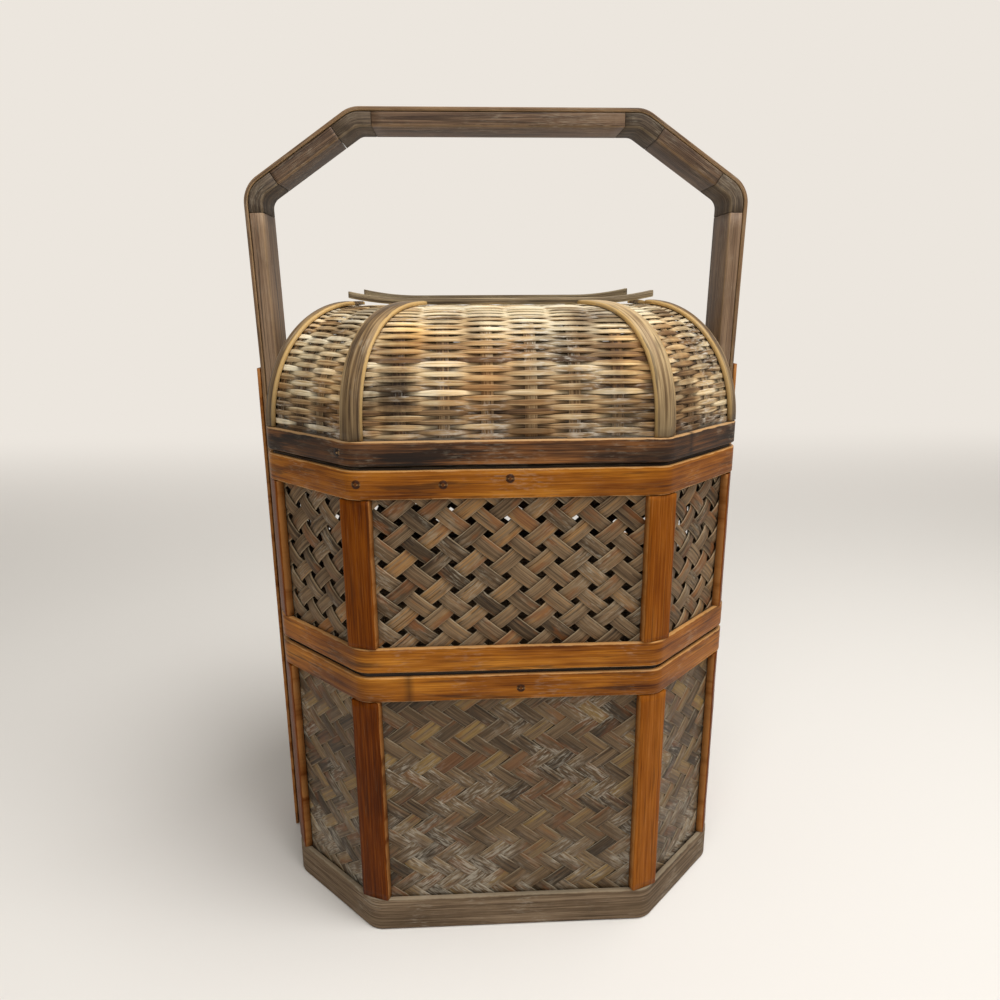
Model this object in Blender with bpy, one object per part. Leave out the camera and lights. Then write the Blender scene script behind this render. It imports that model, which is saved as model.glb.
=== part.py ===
# Tiered bamboo food basket: two octagonal tiers, a domed lid and a fixed arched handle.
# Metres, +Z up. The origin is the middle of the base, and the front faces -Y.

import math

import bmesh
import bpy
from mathutils import Matrix, Vector

# Plan of the octagon, the same for both tiers and the lid
BODY_WIDTH = 0.240
BODY_DEPTH = 0.200
CORNER_CUT = 0.048
BAND_CORNER_RADIUS = 0.012
BAND_INNER_RADIUS = 0.001
WALL_CORNER_RADIUS = 0.003

# Layers, from the outside of a band inwards
BAND_THICKNESS = 0.0026
WALL_THICKNESS = 0.0018
COLLAR_THICKNESS = 0.0020
FLOOR_THICKNESS = 0.0025
PIECE_GAP = 0.0003

# Heights up the stack
BASE_BAND_HEIGHT = 0.0187
LOWER_TIER_HEIGHT = 0.1466
LOWER_RIM_HEIGHT = 0.0132
TIER_SEAM = 0.0023
FOOT_BAND_HEIGHT = 0.0126
UPPER_TIER_HEIGHT = 0.0995
UPPER_RIM_HEIGHT = 0.0136
LID_SEAM = 0.0020
LID_RIM_HEIGHT = 0.0112
WALL_LIFT = 0.0010
COLLAR_STAND = 0.0060
FLOOR_RISE = 0.0060

# Upright slats over the corners, and the battens under the floor
SLAT_WIDTH = 0.0150
SLAT_MIDDLE_THICKNESS = 0.0012
SLAT_EDGE = 0.0006
BATTEN_WIDTH = 0.0120
BATTEN_THICKNESS = 0.0030
BATTEN_MARGIN = 0.0100

# Diamond holes of the open weave
HOLE_PITCH = 0.0164
HOLE_ROW_PITCH = 0.0068
HOLE_HALF_WIDTH = 0.0027
HOLE_HALF_HEIGHT = 0.0024
HOLE_MARGIN = 0.0010

# Dome of the lid
DOME_RISE = 0.0579
CROWN_SHOULDER = 0.042
CROWN_HALF_DEPTH = 0.036
CROWN_END = 0.080
CROWN_END_HALF_DEPTH = 0.018
FRONT_POWER = 2.6
SIDE_POWER = 2.0
DOME_STEPS = 14
SIDE_RIB_END_SHARE = 0.93
FRONT_RIB_END_SHARE = 0.955
RIB_HALF_WIDTH = 0.0055
RIB_THICKNESS = 0.0020

# Woven relief of the dome: strands go round it, in and out past upright stakes
STRAND_PITCH = 0.0022
STRAND_RELIEF = 0.0008
FRONT_PANEL_STAKES = 6
CORNER_PANEL_STAKES = 3
SIDE_PANEL_STAKES = 4
ARC_SAMPLES = 200

# Ridge strips along the crown's front and back edges, sprung up at their ends
FRONT_STRIP_THICKNESS = 0.0032
BACK_STRIP_THICKNESS = 0.0050
STRIP_HALF_LENGTH = 0.0772
STRIP_FLAT_HALF_LENGTH = 0.045
STRIP_WIDTH = 0.0078
STRIP_SPRING = 0.0035
STRIP_MARGIN = 0.0002
STRIP_STEPS = 4

# Handle arch, measured on its outer face
HANDLE_HEIGHT = 0.416
HANDLE_SHOULDER_DROP = 0.0375
HANDLE_TOP_HALF_WIDTH = 0.075
HANDLE_SPLAY = 0.0016
HANDLE_DEPTH = 0.0275
HANDLE_CORE_THICKNESS = 0.0069
HANDLE_STRAP_THICKNESS = 0.0020
HANDLE_CORNER_RADIUS = 0.016
UPPER_BLOCK_TOP_REACH = 0.0105
UPPER_BLOCK_SIDE_REACH = 0.013
LOWER_BLOCK_SIDE_REACH = 0.0155
LOWER_BLOCK_LEG_REACH = 0.0125
HANDLE_FOOT_LIFT = 0.0012
LAP_THICKNESS = 0.0018
LAP_HEIGHT = 0.287

ARC_STEPS = 3
HANDLE_ARC_STEPS = 6
FACE_TURN = math.radians(45)
FACES = ("right", "back_right", "back", "back_left", "left", "front_left", "front", "front_right")

# Levels worked out from the heights
LOWER_RIM_TOP = LOWER_TIER_HEIGHT
LOWER_WALL_TOP = LOWER_RIM_TOP + (TIER_SEAM - PIECE_GAP) / 2
UPPER_BOTTOM = LOWER_RIM_TOP + TIER_SEAM
UPPER_WALL_BOTTOM = LOWER_WALL_TOP + PIECE_GAP
UPPER_RIM_TOP = UPPER_BOTTOM + UPPER_TIER_HEIGHT
UPPER_WALL_TOP = UPPER_RIM_TOP + (LID_SEAM - PIECE_GAP) / 2
LID_BOTTOM = UPPER_RIM_TOP + LID_SEAM
LID_WALL_BOTTOM = UPPER_WALL_TOP + PIECE_GAP
DOME_BASE = LID_BOTTOM + LID_RIM_HEIGHT
DOME_TOP = DOME_BASE + DOME_RISE
LOWER_COLLAR_TOP = LOWER_RIM_TOP + COLLAR_STAND
UPPER_COLLAR_TOP = UPPER_RIM_TOP + COLLAR_STAND

# Insets worked out from the layers
WALL_INSET = BAND_THICKNESS + PIECE_GAP
WALL_INNER_INSET = WALL_INSET + WALL_THICKNESS
COLLAR_INSET = WALL_INNER_INSET + PIECE_GAP
COLLAR_INNER_INSET = COLLAR_INSET + COLLAR_THICKNESS

# Outer and inner corner radii of the rings
band_radii = (BAND_CORNER_RADIUS, BAND_INNER_RADIUS)
wall_radii = (WALL_CORNER_RADIUS, WALL_CORNER_RADIUS - WALL_THICKNESS)
collar_radii = (WALL_CORNER_RADIUS, WALL_CORNER_RADIUS - COLLAR_THICKNESS)

# Offsets of the handle's layers from its outer face
HANDLE_HALF_WIDTH = (
    BODY_WIDTH / 2 + PIECE_GAP + HANDLE_CORE_THICKNESS + PIECE_GAP + HANDLE_STRAP_THICKNESS
)
CORE_OFFSET = HANDLE_STRAP_THICKNESS + PIECE_GAP
CORE_INNER_OFFSET = CORE_OFFSET + HANDLE_CORE_THICKNESS


def clear_scene():
    for old in list(bpy.data.objects):
        bpy.data.objects.remove(old, do_unlink=True)


def make_collection(name):
    collection = bpy.data.collections.new(name)
    bpy.context.scene.collection.children.link(collection)
    return collection


def make_material(name, colour, roughness, metallic=0.0):
    material = bpy.data.materials.new(name)
    material.use_nodes = True
    shader = material.node_tree.nodes["Principled BSDF"]
    shader.inputs["Base Color"].default_value = (*colour, 1.0)
    shader.inputs["Roughness"].default_value = roughness
    shader.inputs["Metallic"].default_value = metallic
    material.diffuse_color = (*colour, 1.0)
    return material


def make_body_empty(name, height):
    # The empty stands on the upright line along which its body lifts.
    empty = bpy.data.objects.new(name, None)
    empty.location = (0, 0, height)
    basket.objects.link(empty)
    bpy.context.view_layer.update()
    return empty


def place(piece, material, parent):
    piece.data.materials.append(material)
    basket.objects.link(piece)
    piece.parent = parent
    piece.matrix_parent_inverse = parent.matrix_world.inverted()
    return piece


def octagon_corners(inset):
    # Corner i lies between the faces i and i + 1 of FACES.
    half_width = BODY_WIDTH / 2 - inset
    half_depth = BODY_DEPTH / 2 - inset
    cut = CORNER_CUT - inset * (2 - math.sqrt(2))
    side = half_depth - cut
    front = half_width - cut
    return [
        (half_width, side),
        (front, half_depth),
        (-front, half_depth),
        (-half_width, side),
        (-half_width, -side),
        (-front, -half_depth),
        (front, -half_depth),
        (half_width, -side),
    ]


def octagon_outline(inset, radius):
    # Each corner of the octagon that is smaller by the radius carries an arc of that radius.
    outline = []
    for index, corner in enumerate(octagon_corners(inset + radius)):
        for step in range(ARC_STEPS + 1):
            angle = FACE_TURN * (index + step / ARC_STEPS)
            outline.append((corner[0] + radius * math.cos(angle), corner[1] + radius * math.sin(angle)))
    return outline


def face_frame(face, inset):
    # Middle, half length and outward angle of one face of the octagon.
    corners = octagon_corners(inset)
    start = Vector(corners[face - 1])
    end = Vector(corners[face])
    return (start + end) / 2, (end - start).length / 2, FACE_TURN * face


def flat_piece(name, outlines, thickness):
    # A flat outline with its holes, thickened evenly to both sides.
    curve = bpy.data.curves.new(name, "CURVE")
    curve.dimensions = "2D"
    curve.fill_mode = "BOTH"
    curve.extrude = thickness / 2
    for outline in outlines:
        spline = curve.splines.new("POLY")
        spline.points.add(len(outline) - 1)
        for point, place_on_outline in zip(spline.points, outline):
            point.co = (*place_on_outline, 0, 1)
        spline.use_cyclic_u = True
    return bpy.data.objects.new(name, curve)


def box(name, size, centre, angle=0.0):
    mesh = bpy.data.meshes.new(name)
    shape = bmesh.new()
    bmesh.ops.create_cube(shape, size=1)
    bmesh.ops.scale(shape, vec=size, verts=shape.verts)
    shape.to_mesh(mesh)
    shape.free()
    piece = bpy.data.objects.new(name, mesh)
    piece.location = centre
    piece.rotation_euler = (0, 0, angle)
    return piece


def hoop(name, inset, thickness, bottom, top, radii, material, parent):
    # A bamboo strip bent into an octagonal ring, with an outer and an inner corner radius.
    outer = octagon_outline(inset, radii[0])
    inner = octagon_outline(inset + thickness, radii[1])
    piece = flat_piece(name, (outer, inner), top - bottom)
    piece.location = (0, 0, (bottom + top) / 2)
    return place(piece, material, parent)


def floor(name, bottom, material, parent):
    piece = flat_piece(name, (octagon_outline(COLLAR_INSET, WALL_CORNER_RADIUS),), FLOOR_THICKNESS)
    piece.location = (0, 0, bottom + FLOOR_THICKNESS / 2)
    return place(piece, material, parent)


def slat_outline(corner):
    # Seen from above: a flat face across the corner, and a back that fits over the wall's angle.
    inset = WALL_INSET - PIECE_GAP
    apex = Vector(octagon_corners(inset)[corner])
    angle = FACE_TURN * (corner + 1 / 2)
    outward = Vector((math.cos(angle), math.sin(angle)))
    along = Vector((-outward.y, outward.x))
    half_width = SLAT_WIDTH / 2
    back = half_width * math.tan(FACE_TURN / 2)
    places = [
        (-half_width, -back),
        (0, 0),
        (half_width, -back),
        (half_width, SLAT_MIDDLE_THICKNESS - SLAT_EDGE),
        (half_width - SLAT_EDGE, SLAT_MIDDLE_THICKNESS),
        (SLAT_EDGE - half_width, SLAT_MIDDLE_THICKNESS),
        (-half_width, SLAT_MIDDLE_THICKNESS - SLAT_EDGE),
    ]
    return [tuple(apex + along * across + outward * out) for across, out in places]


def slats(tier_name, bottom, top, material, parent):
    # One upright slat over each corner, between two bands.
    height = top - bottom - 2 * PIECE_GAP
    for corner in range(len(FACES)):
        onward = (corner + 1) % len(FACES)
        name = f"{tier_name}_slat_{FACES[corner]}_to_{FACES[onward]}"
        piece = flat_piece(name, (slat_outline(corner),), height)
        piece.location = (0, 0, (bottom + top) / 2)
        place(piece, material, parent)


def diamond(centre_x, centre_y):
    return [
        (centre_x - HOLE_HALF_WIDTH, centre_y),
        (centre_x, centre_y - HOLE_HALF_HEIGHT),
        (centre_x + HOLE_HALF_WIDTH, centre_y),
        (centre_x, centre_y + HOLE_HALF_HEIGHT),
    ]


def diamond_rows(half_width, half_height):
    # Rows of diamonds centred on the window, every other row moved by half a pitch.
    holes = []
    row_reach = int((half_height - HOLE_HALF_HEIGHT) / HOLE_ROW_PITCH)
    for row in range(-row_reach, row_reach + 1):
        shift = HOLE_PITCH / 2 if row % 2 else 0
        column_reach = math.ceil(half_width / HOLE_PITCH)
        for column in range(-column_reach, column_reach + 1):
            centre_x = column * HOLE_PITCH + shift
            if abs(centre_x) + HOLE_HALF_WIDTH <= half_width:
                holes.append(diamond(centre_x, row * HOLE_ROW_PITCH))
    return holes


def mesh_from_curve(curve_object):
    depsgraph = bpy.context.evaluated_depsgraph_get()
    mesh = bpy.data.meshes.new_from_object(curve_object.evaluated_get(depsgraph))
    shape = bmesh.new()
    shape.from_mesh(mesh)
    bmesh.ops.remove_doubles(shape, verts=shape.verts, dist=PIECE_GAP / 100)
    shape.to_mesh(mesh)
    shape.free()
    piece = bpy.data.objects.new(curve_object.name, mesh)
    piece.matrix_world = curve_object.matrix_world
    bpy.data.objects.remove(curve_object, do_unlink=True)
    return piece


def mitre_ends(mesh, inner_half_length, outer_half_length):
    # The outer face of a panel is longer, so that two panels meet along the corner's bisector.
    for vertex in mesh.vertices:
        at_end = abs(vertex.co.x) > inner_half_length - PIECE_GAP
        if at_end and vertex.co.z > 0:
            vertex.co.x = math.copysign(outer_half_length, vertex.co.x)


def open_panel(face, bottom, top, window_bottom, window_top, material, parent):
    # A panel of open diagonal weave, plain behind the bands and the slats.
    middle_inset = WALL_INSET + WALL_THICKNESS / 2
    middle, _, angle = face_frame(face, middle_inset)
    end_gap = PIECE_GAP / 2
    inner_half = face_frame(face, WALL_INNER_INSET)[1] - end_gap
    outer_half = face_frame(face, WALL_INSET)[1] - end_gap
    half_height = (top - bottom) / 2
    covered = SLAT_WIDTH / 2 / math.cos(FACE_TURN / 2)
    window_half_width = outer_half - covered - HOLE_MARGIN
    window_half_height = (window_top - window_bottom) / 2 - HOLE_MARGIN
    window_shift = (window_top + window_bottom - top - bottom) / 2
    frame = [
        (-inner_half, -half_height),
        (inner_half, -half_height),
        (inner_half, half_height),
        (-inner_half, half_height),
    ]
    holes = diamond_rows(window_half_width, window_half_height)
    shifted = [[(x, y + window_shift) for x, y in hole] for hole in holes]
    sheet = flat_piece(f"upper_panel_{FACES[face]}", [frame, *shifted], WALL_THICKNESS)
    basket.objects.link(sheet)
    piece = mesh_from_curve(sheet)
    piece.name = f"upper_panel_{FACES[face]}"
    mitre_ends(piece.data, inner_half, outer_half)
    upright = Matrix.Rotation(math.radians(90), 4, "X")
    turn = Matrix.Rotation(angle + math.radians(90), 4, "Z")
    piece.matrix_world = Matrix.Translation((*middle, (bottom + top) / 2)) @ turn @ upright
    return place(piece, material, parent)


def crown_corners():
    # The flat octagon at the top of the dome, on which the eight panels end.
    return [
        (CROWN_END, CROWN_END_HALF_DEPTH),
        (CROWN_SHOULDER, CROWN_HALF_DEPTH),
        (-CROWN_SHOULDER, CROWN_HALF_DEPTH),
        (-CROWN_END, CROWN_END_HALF_DEPTH),
        (-CROWN_END, -CROWN_END_HALF_DEPTH),
        (-CROWN_SHOULDER, -CROWN_HALF_DEPTH),
        (CROWN_SHOULDER, -CROWN_HALF_DEPTH),
        (CROWN_END, -CROWN_END_HALF_DEPTH),
    ]


def on_front_or_back(corner):
    # Corners 1, 2, 5 and 6 bound the front and back panels, the others the side panels.
    return corner % 4 in (1, 2)


def dome_shares():
    # Shares of the way in from the wall to the crown, closest together where the dome is steep.
    shares = []
    for step in range(DOME_STEPS):
        turn = math.radians(90) * step / DOME_STEPS
        shares.append(1 - math.cos(turn) ** (2 / FRONT_POWER))
    return [*shares, SIDE_RIB_END_SHARE, FRONT_RIB_END_SHARE, 1]


def height_share(share):
    # A squarish arch up the front and back, flat at the crown.
    return (1 - (1 - share) ** FRONT_POWER) ** (1 / FRONT_POWER)


def side_share(share):
    # The sides come in along a rounder arch, and are at the same height.
    return 1 - (1 - height_share(share) ** SIDE_POWER) ** (1 / SIDE_POWER)


def dome_height(share, thickness=0):
    return DOME_BASE + (DOME_RISE - thickness) * height_share(share)


def dome_ring(share, thickness=0):
    # The eight corners of the dome at one share of the way in, outside or under a thickness.
    ring = []
    feet = octagon_corners(WALL_INSET + thickness)
    for corner, (foot, head) in enumerate(zip(feet, crown_corners())):
        way_in = share if on_front_or_back(corner) else side_share(share)
        level_place = Vector(foot).lerp(Vector(head), way_in)
        ring.append(Vector((*level_place, dome_height(share, thickness))))
    return ring


def strand_shares():
    # Shares of the way in at which the strands lie, evenly spaced up the front panel.
    depth = BODY_DEPTH / 2 - WALL_INSET - CROWN_HALF_DEPTH
    shares = []
    for sample in range(ARC_SAMPLES):
        turn = math.radians(90) * sample / ARC_SAMPLES
        shares.append(1 - math.cos(turn) ** (2 / FRONT_POWER))
    shares.append(1)
    places = [Vector((depth * share, dome_height(share))) for share in shares]
    arcs = [0]
    for before, after in zip(places, places[1:]):
        arcs.append(arcs[-1] + (after - before).length)
    rows = round(arcs[-1] / STRAND_PITCH)
    found = []
    sample = 0
    for row in range(1, rows):
        arc = arcs[-1] * row / rows
        while arcs[sample + 1] < arc:
            sample += 1
        step_share = (arc - arcs[sample]) / (arcs[sample + 1] - arcs[sample])
        found.append(shares[sample] + (shares[sample + 1] - shares[sample]) * step_share)
    return found


def panel_stakes(face):
    if face % 2:
        return CORNER_PANEL_STAKES
    return FRONT_PANEL_STAKES if face % 4 else SIDE_PANEL_STAKES


def stake_points(ring):
    # The points of a strand at its stakes, along the eight straight runs of a ring.
    points = []
    for corner, start in enumerate(ring):
        following = (corner + 1) % len(ring)
        stakes = panel_stakes(following)
        for stake in range(stakes):
            points.append(start.lerp(ring[following], stake / stakes))
    return points


def press_strands(mesh, rows, columns):
    # Every strand goes in at every second stake, turn about from row to row.
    shape = bmesh.new()
    shape.from_mesh(mesh)
    shape.normal_update()
    shape.verts.ensure_lookup_table()
    for row in rows:
        for column in range(row % 2, columns, 2):
            vertex = shape.verts[row * columns + column]
            vertex.co -= vertex.normal * STRAND_RELIEF
    shape.to_mesh(mesh)
    shape.free()


def hollow_out(piece, inside):
    # Cut one piece with another, and keep only the result.
    cut = piece.modifiers.new("inside", "BOOLEAN")
    cut.operation = "DIFFERENCE"
    cut.solver = "EXACT"
    cut.object = inside
    bpy.context.view_layer.update()
    seen = piece.evaluated_get(bpy.context.evaluated_depsgraph_get())
    mesh = bpy.data.meshes.new_from_object(seen)
    piece.modifiers.remove(cut)
    piece.data = mesh
    bpy.data.objects.remove(inside, do_unlink=True)


def loft(name, rings):
    # Closed skin over rings that have the same number of points.
    mesh = bpy.data.meshes.new(name)
    shape = bmesh.new()
    rows = [[shape.verts.new(point) for point in ring] for ring in rings]
    count = len(rows[0])
    for lower, upper in zip(rows, rows[1:]):
        for index in range(count):
            following = (index + 1) % count
            shape.faces.new((lower[index], lower[following], upper[following], upper[index]))
    shape.faces.new(tuple(reversed(rows[0])))
    shape.faces.new(rows[-1])
    shape.to_mesh(mesh)
    shape.free()
    return bpy.data.objects.new(name, mesh)


def dome(material, parent):
    foot = [Vector((x, y, LID_WALL_BOTTOM)) for x, y in octagon_corners(WALL_INSET)]
    strands = [dome_ring(share) for share in strand_shares()]
    rings = [stake_points(ring) for ring in [foot, dome_ring(0), *strands, dome_ring(1)]]
    piece = loft("lid_dome", rings)
    press_strands(piece.data, range(2, len(rings) - 1), len(rings[0]))
    below = LID_WALL_BOTTOM - PIECE_GAP
    inner_foot = [Vector((x, y, below)) for x, y in octagon_corners(WALL_INSET + WALL_THICKNESS)]
    inner_rings = [inner_foot] + [dome_ring(share, WALL_THICKNESS) for share in dome_shares()]
    inside = loft("lid_inside", inner_rings)
    bpy.context.scene.collection.objects.link(piece)
    bpy.context.scene.collection.objects.link(inside)
    hollow_out(piece, inside)
    bpy.context.scene.collection.objects.unlink(piece)
    return place(piece, material, parent)


def rib_section(corner, before, after, ring, neighbour_a, neighbour_b):
    # A shallow angle over the dome's corner, lying on the panels at both sides.
    rise = (after - before).normalized()
    to_a = (ring[neighbour_a] - ring[corner]).normalized()
    to_b = (ring[neighbour_b] - ring[corner]).normalized()
    normal_a = rise.cross(to_a).normalized()
    normal_b = to_b.cross(rise).normalized()
    bisector = (normal_a + normal_b) / (1 + normal_a.dot(normal_b))
    lower = PIECE_GAP
    upper = PIECE_GAP + RIB_THICKNESS
    return [
        ring[corner] + to_a * RIB_HALF_WIDTH + normal_a * lower,
        ring[corner] + to_a * RIB_HALF_WIDTH + normal_a * upper,
        ring[corner] + bisector * upper,
        ring[corner] + to_b * RIB_HALF_WIDTH + normal_b * upper,
        ring[corner] + to_b * RIB_HALF_WIDTH + normal_b * lower,
        ring[corner] + bisector * lower,
    ]


def rib(corner, end_share, material, parent):
    count = len(FACES)
    clockwise = (corner - 1) % count
    onward = (corner + 1) % count
    shares = [share for share in dome_shares() if share <= end_share]
    rings = [dome_ring(share) for share in shares]
    for point in rings[0]:
        point.z += PIECE_GAP
    sections = []
    for index, ring in enumerate(rings):
        before = rings[max(index - 1, 0)][corner]
        after = rings[min(index + 1, len(rings) - 1)][corner]
        if index == 0:
            after = ring[corner] + Vector((0, 0, PIECE_GAP))
        sections.append(rib_section(corner, before, after, ring, clockwise, onward))
    name = f"lid_rib_{FACES[corner]}_to_{FACES[onward]}"
    piece = loft(name, sections)
    return place(piece, material, parent)


def ridge_strip(side, name, thickness, material, parent):
    # Flat along the crown's edge, with both ends sprung up off it.
    bottom = DOME_TOP + PIECE_GAP
    sprung_length = STRIP_HALF_LENGTH - STRIP_FLAT_HALF_LENGTH
    end_places = []
    for step in range(STRIP_STEPS + 1):
        share = step / STRIP_STEPS
        end_places.append((STRIP_FLAT_HALF_LENGTH + sprung_length * share, STRIP_SPRING * share ** 2))
    line = [(-x, z) for x, z in reversed(end_places)] + end_places
    under = [(x, bottom + z) for x, z in line]
    over = [(x, bottom + thickness + z) for x, z in reversed(line)]
    piece = flat_piece(name, (under + over,), STRIP_WIDTH)
    piece.rotation_euler = (math.radians(90), 0, 0)
    piece.location = (0, side * (CROWN_HALF_DEPTH - STRIP_MARGIN - STRIP_WIDTH / 2), 0)
    return place(piece, material, parent)


def handle_vertices():
    # Foot, knee at the top of the lap, shoulder and top on the left, and back down on the right.
    left = [
        Vector((-HANDLE_HALF_WIDTH, HANDLE_FOOT_LIFT)),
        Vector((-HANDLE_HALF_WIDTH, LAP_HEIGHT)),
        Vector((-HANDLE_HALF_WIDTH - HANDLE_SPLAY, HANDLE_HEIGHT - HANDLE_SHOULDER_DROP)),
        Vector((-HANDLE_TOP_HALF_WIDTH, HANDLE_HEIGHT)),
    ]
    right = [Vector((-vertex.x, vertex.y)) for vertex in reversed(left)]
    return left + right


def handle_run(index):
    # Start, direction and outward normal of the straight run after one vertex.
    start, end = handle_vertices()[index:index + 2]
    direction = (end - start).normalized()
    return start, direction, Vector((-direction.y, direction.x))


def run_station(index, distance):
    start, direction, normal = handle_run(index)
    return start + direction * distance, normal


def run_length(index):
    start, end = handle_vertices()[index:index + 2]
    return (end - start).length


def knee_station(index):
    # The slight knee of a leg, on the bisector of its two straight runs.
    vertex, _, normal_after = handle_run(index)
    normal_before = handle_run(index - 1)[2]
    return vertex, (normal_before + normal_after) / (1 + normal_before.dot(normal_after))


def bend_stations(index):
    # Points round the bend at one vertex, with their outward normals.
    vertex, _, normal_after = handle_run(index)
    normal_before = handle_run(index - 1)[2]
    bisector = (normal_before + normal_after) / (1 + normal_before.dot(normal_after))
    centre = vertex - bisector * HANDLE_CORNER_RADIUS
    start_angle = math.atan2(normal_before.y, normal_before.x)
    turn = normal_after.angle_signed(normal_before)
    stations = []
    for step in range(HANDLE_ARC_STEPS + 1):
        angle = start_angle + turn * step / HANDLE_ARC_STEPS
        normal = Vector((math.cos(angle), math.sin(angle)))
        stations.append((centre + normal * HANDLE_CORNER_RADIUS, normal))
    return stations


def handle_piece(name, stations, outer_offset, inner_offset, material, parent):
    outer = [tuple(point - normal * outer_offset) for point, normal in stations]
    inner = [tuple(point - normal * inner_offset) for point, normal in reversed(stations)]
    piece = flat_piece(name, (outer + inner,), HANDLE_DEPTH)
    piece.rotation_euler = (math.radians(90), 0, 0)
    return place(piece, material, parent)


def handle_core(name, index, reach_before, reach_after, material, parent):
    # One straight stick of the arch, between the blocks at its two ends.
    start = run_station(index, reach_before)
    end = run_station(index, run_length(index) - reach_after)
    return handle_piece(name, (start, end), CORE_OFFSET, CORE_INNER_OFFSET, material, parent)


def handle_leg(name, foot, knee, end, material, parent):
    # A leg runs from the foot up to its block, with the slight knee between.
    return handle_piece(name, (foot, knee_station(knee), end), CORE_OFFSET, CORE_INNER_OFFSET,
                        material, parent)


def handle_block(name, index, reach_before, reach_after, material, parent):
    # One bent block of the arch, over a vertex.
    start = run_station(index - 1, run_length(index - 1) - reach_before)
    end = run_station(index, reach_after)
    stations = [start, *bend_stations(index), end]
    return handle_piece(name, stations, CORE_OFFSET, CORE_INNER_OFFSET, material, parent)


def handle_strap(material, parent):
    # The thin strap runs over the whole arch, from foot to foot.
    last = len(handle_vertices()) - 1
    stations = [run_station(0, 0), knee_station(1)]
    for index in range(2, last - 1):
        stations += bend_stations(index)
    stations += [knee_station(last - 1), run_station(last - 1, run_length(last - 1))]
    return handle_piece("handle_outer_strap", stations, 0, HANDLE_STRAP_THICKNESS, material, parent)


def handle_lap(side, name, material, parent):
    # The short outer strap that laps each leg and stops below the shoulder.
    size = (LAP_THICKNESS, HANDLE_DEPTH, LAP_HEIGHT - HANDLE_FOOT_LIFT)
    across = side * (HANDLE_HALF_WIDTH + PIECE_GAP + LAP_THICKNESS / 2)
    piece = box(name, size, (across, 0, (LAP_HEIGHT + HANDLE_FOOT_LIFT) / 2))
    return place(piece, material, parent)


def build_handle(core_material, strap_material, parent):
    leg_reach = LOWER_BLOCK_LEG_REACH + PIECE_GAP
    side_reach = LOWER_BLOCK_SIDE_REACH + PIECE_GAP
    upper_reach = UPPER_BLOCK_SIDE_REACH + PIECE_GAP
    top_reach = UPPER_BLOCK_TOP_REACH + PIECE_GAP
    left_foot = run_station(0, 0)
    right_foot = run_station(6, run_length(6))
    left_end = run_station(1, run_length(1) - leg_reach)
    right_end = run_station(5, leg_reach)
    handle_leg("handle_leg_left", left_foot, 1, left_end, core_material, parent)
    handle_leg("handle_leg_right", right_foot, 6, right_end, core_material, parent)
    handle_core("handle_diagonal_left", 2, side_reach, upper_reach, core_material, parent)
    handle_core("handle_diagonal_right", 4, upper_reach, side_reach, core_material, parent)
    handle_core("handle_top_bar", 3, top_reach, top_reach, core_material, parent)
    lower = (LOWER_BLOCK_LEG_REACH, LOWER_BLOCK_SIDE_REACH)
    upper = (UPPER_BLOCK_SIDE_REACH, UPPER_BLOCK_TOP_REACH)
    handle_block("handle_lower_block_left", 2, *lower, core_material, parent)
    handle_block("handle_upper_block_left", 3, *upper, core_material, parent)
    handle_block("handle_upper_block_right", 4, *reversed(upper), core_material, parent)
    handle_block("handle_lower_block_right", 5, *reversed(lower), core_material, parent)
    handle_strap(strap_material, parent)
    handle_lap(-1, "handle_lap_left", strap_material, parent)
    handle_lap(1, "handle_lap_right", strap_material, parent)


def build_lower_tier(parent):
    hoop("lower_base_band", 0, BAND_THICKNESS, 0, BASE_BAND_HEIGHT,
         band_radii, base_bamboo, parent)
    hoop("lower_rim_band", 0, BAND_THICKNESS, LOWER_RIM_TOP - LOWER_RIM_HEIGHT, LOWER_RIM_TOP,
         band_radii, band_bamboo, parent)
    hoop("lower_woven_wall", WALL_INSET, WALL_THICKNESS, WALL_LIFT, LOWER_WALL_TOP,
         wall_radii, dense_weave, parent)
    hoop("lower_collar", COLLAR_INSET, COLLAR_THICKNESS, LOWER_RIM_TOP - LOWER_RIM_HEIGHT,
         LOWER_COLLAR_TOP, collar_radii, dark_bamboo, parent)
    slats("lower", BASE_BAND_HEIGHT, LOWER_RIM_TOP - LOWER_RIM_HEIGHT, slat_bamboo, parent)
    floor("lower_floor", FLOOR_RISE, floor_bamboo, parent)
    # The battens lie across the floor, a margin inside the corners of the octagon's short sides.
    batten_length = BODY_WIDTH - 2 * (COLLAR_INSET + PIECE_GAP)
    batten_offset = BODY_DEPTH / 2 - CORNER_CUT - BATTEN_MARGIN
    batten_height = FLOOR_RISE - PIECE_GAP - BATTEN_THICKNESS / 2
    for side, side_name in ((-1, "front"), (1, "back")):
        size = (batten_length, BATTEN_WIDTH, BATTEN_THICKNESS)
        centre = (0, side * batten_offset, batten_height)
        place(box(f"lower_batten_{side_name}", size, centre), dark_bamboo, parent)


def build_upper_tier(parent):
    foot_top = UPPER_BOTTOM + FOOT_BAND_HEIGHT
    rim_bottom = UPPER_RIM_TOP - UPPER_RIM_HEIGHT
    hoop("upper_foot_band", 0, BAND_THICKNESS, UPPER_BOTTOM, foot_top,
         band_radii, band_bamboo, parent)
    hoop("upper_rim_band", 0, BAND_THICKNESS, rim_bottom, UPPER_RIM_TOP,
         band_radii, band_bamboo, parent)
    hoop("upper_collar", COLLAR_INSET, COLLAR_THICKNESS, rim_bottom, UPPER_COLLAR_TOP,
         collar_radii, dark_bamboo, parent)
    for face in range(len(FACES)):
        open_panel(face, UPPER_WALL_BOTTOM, UPPER_WALL_TOP, foot_top, rim_bottom, open_weave, parent)
    slats("upper", foot_top, rim_bottom, slat_bamboo, parent)
    floor("upper_floor", LOWER_COLLAR_TOP + PIECE_GAP, floor_bamboo, parent)


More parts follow.
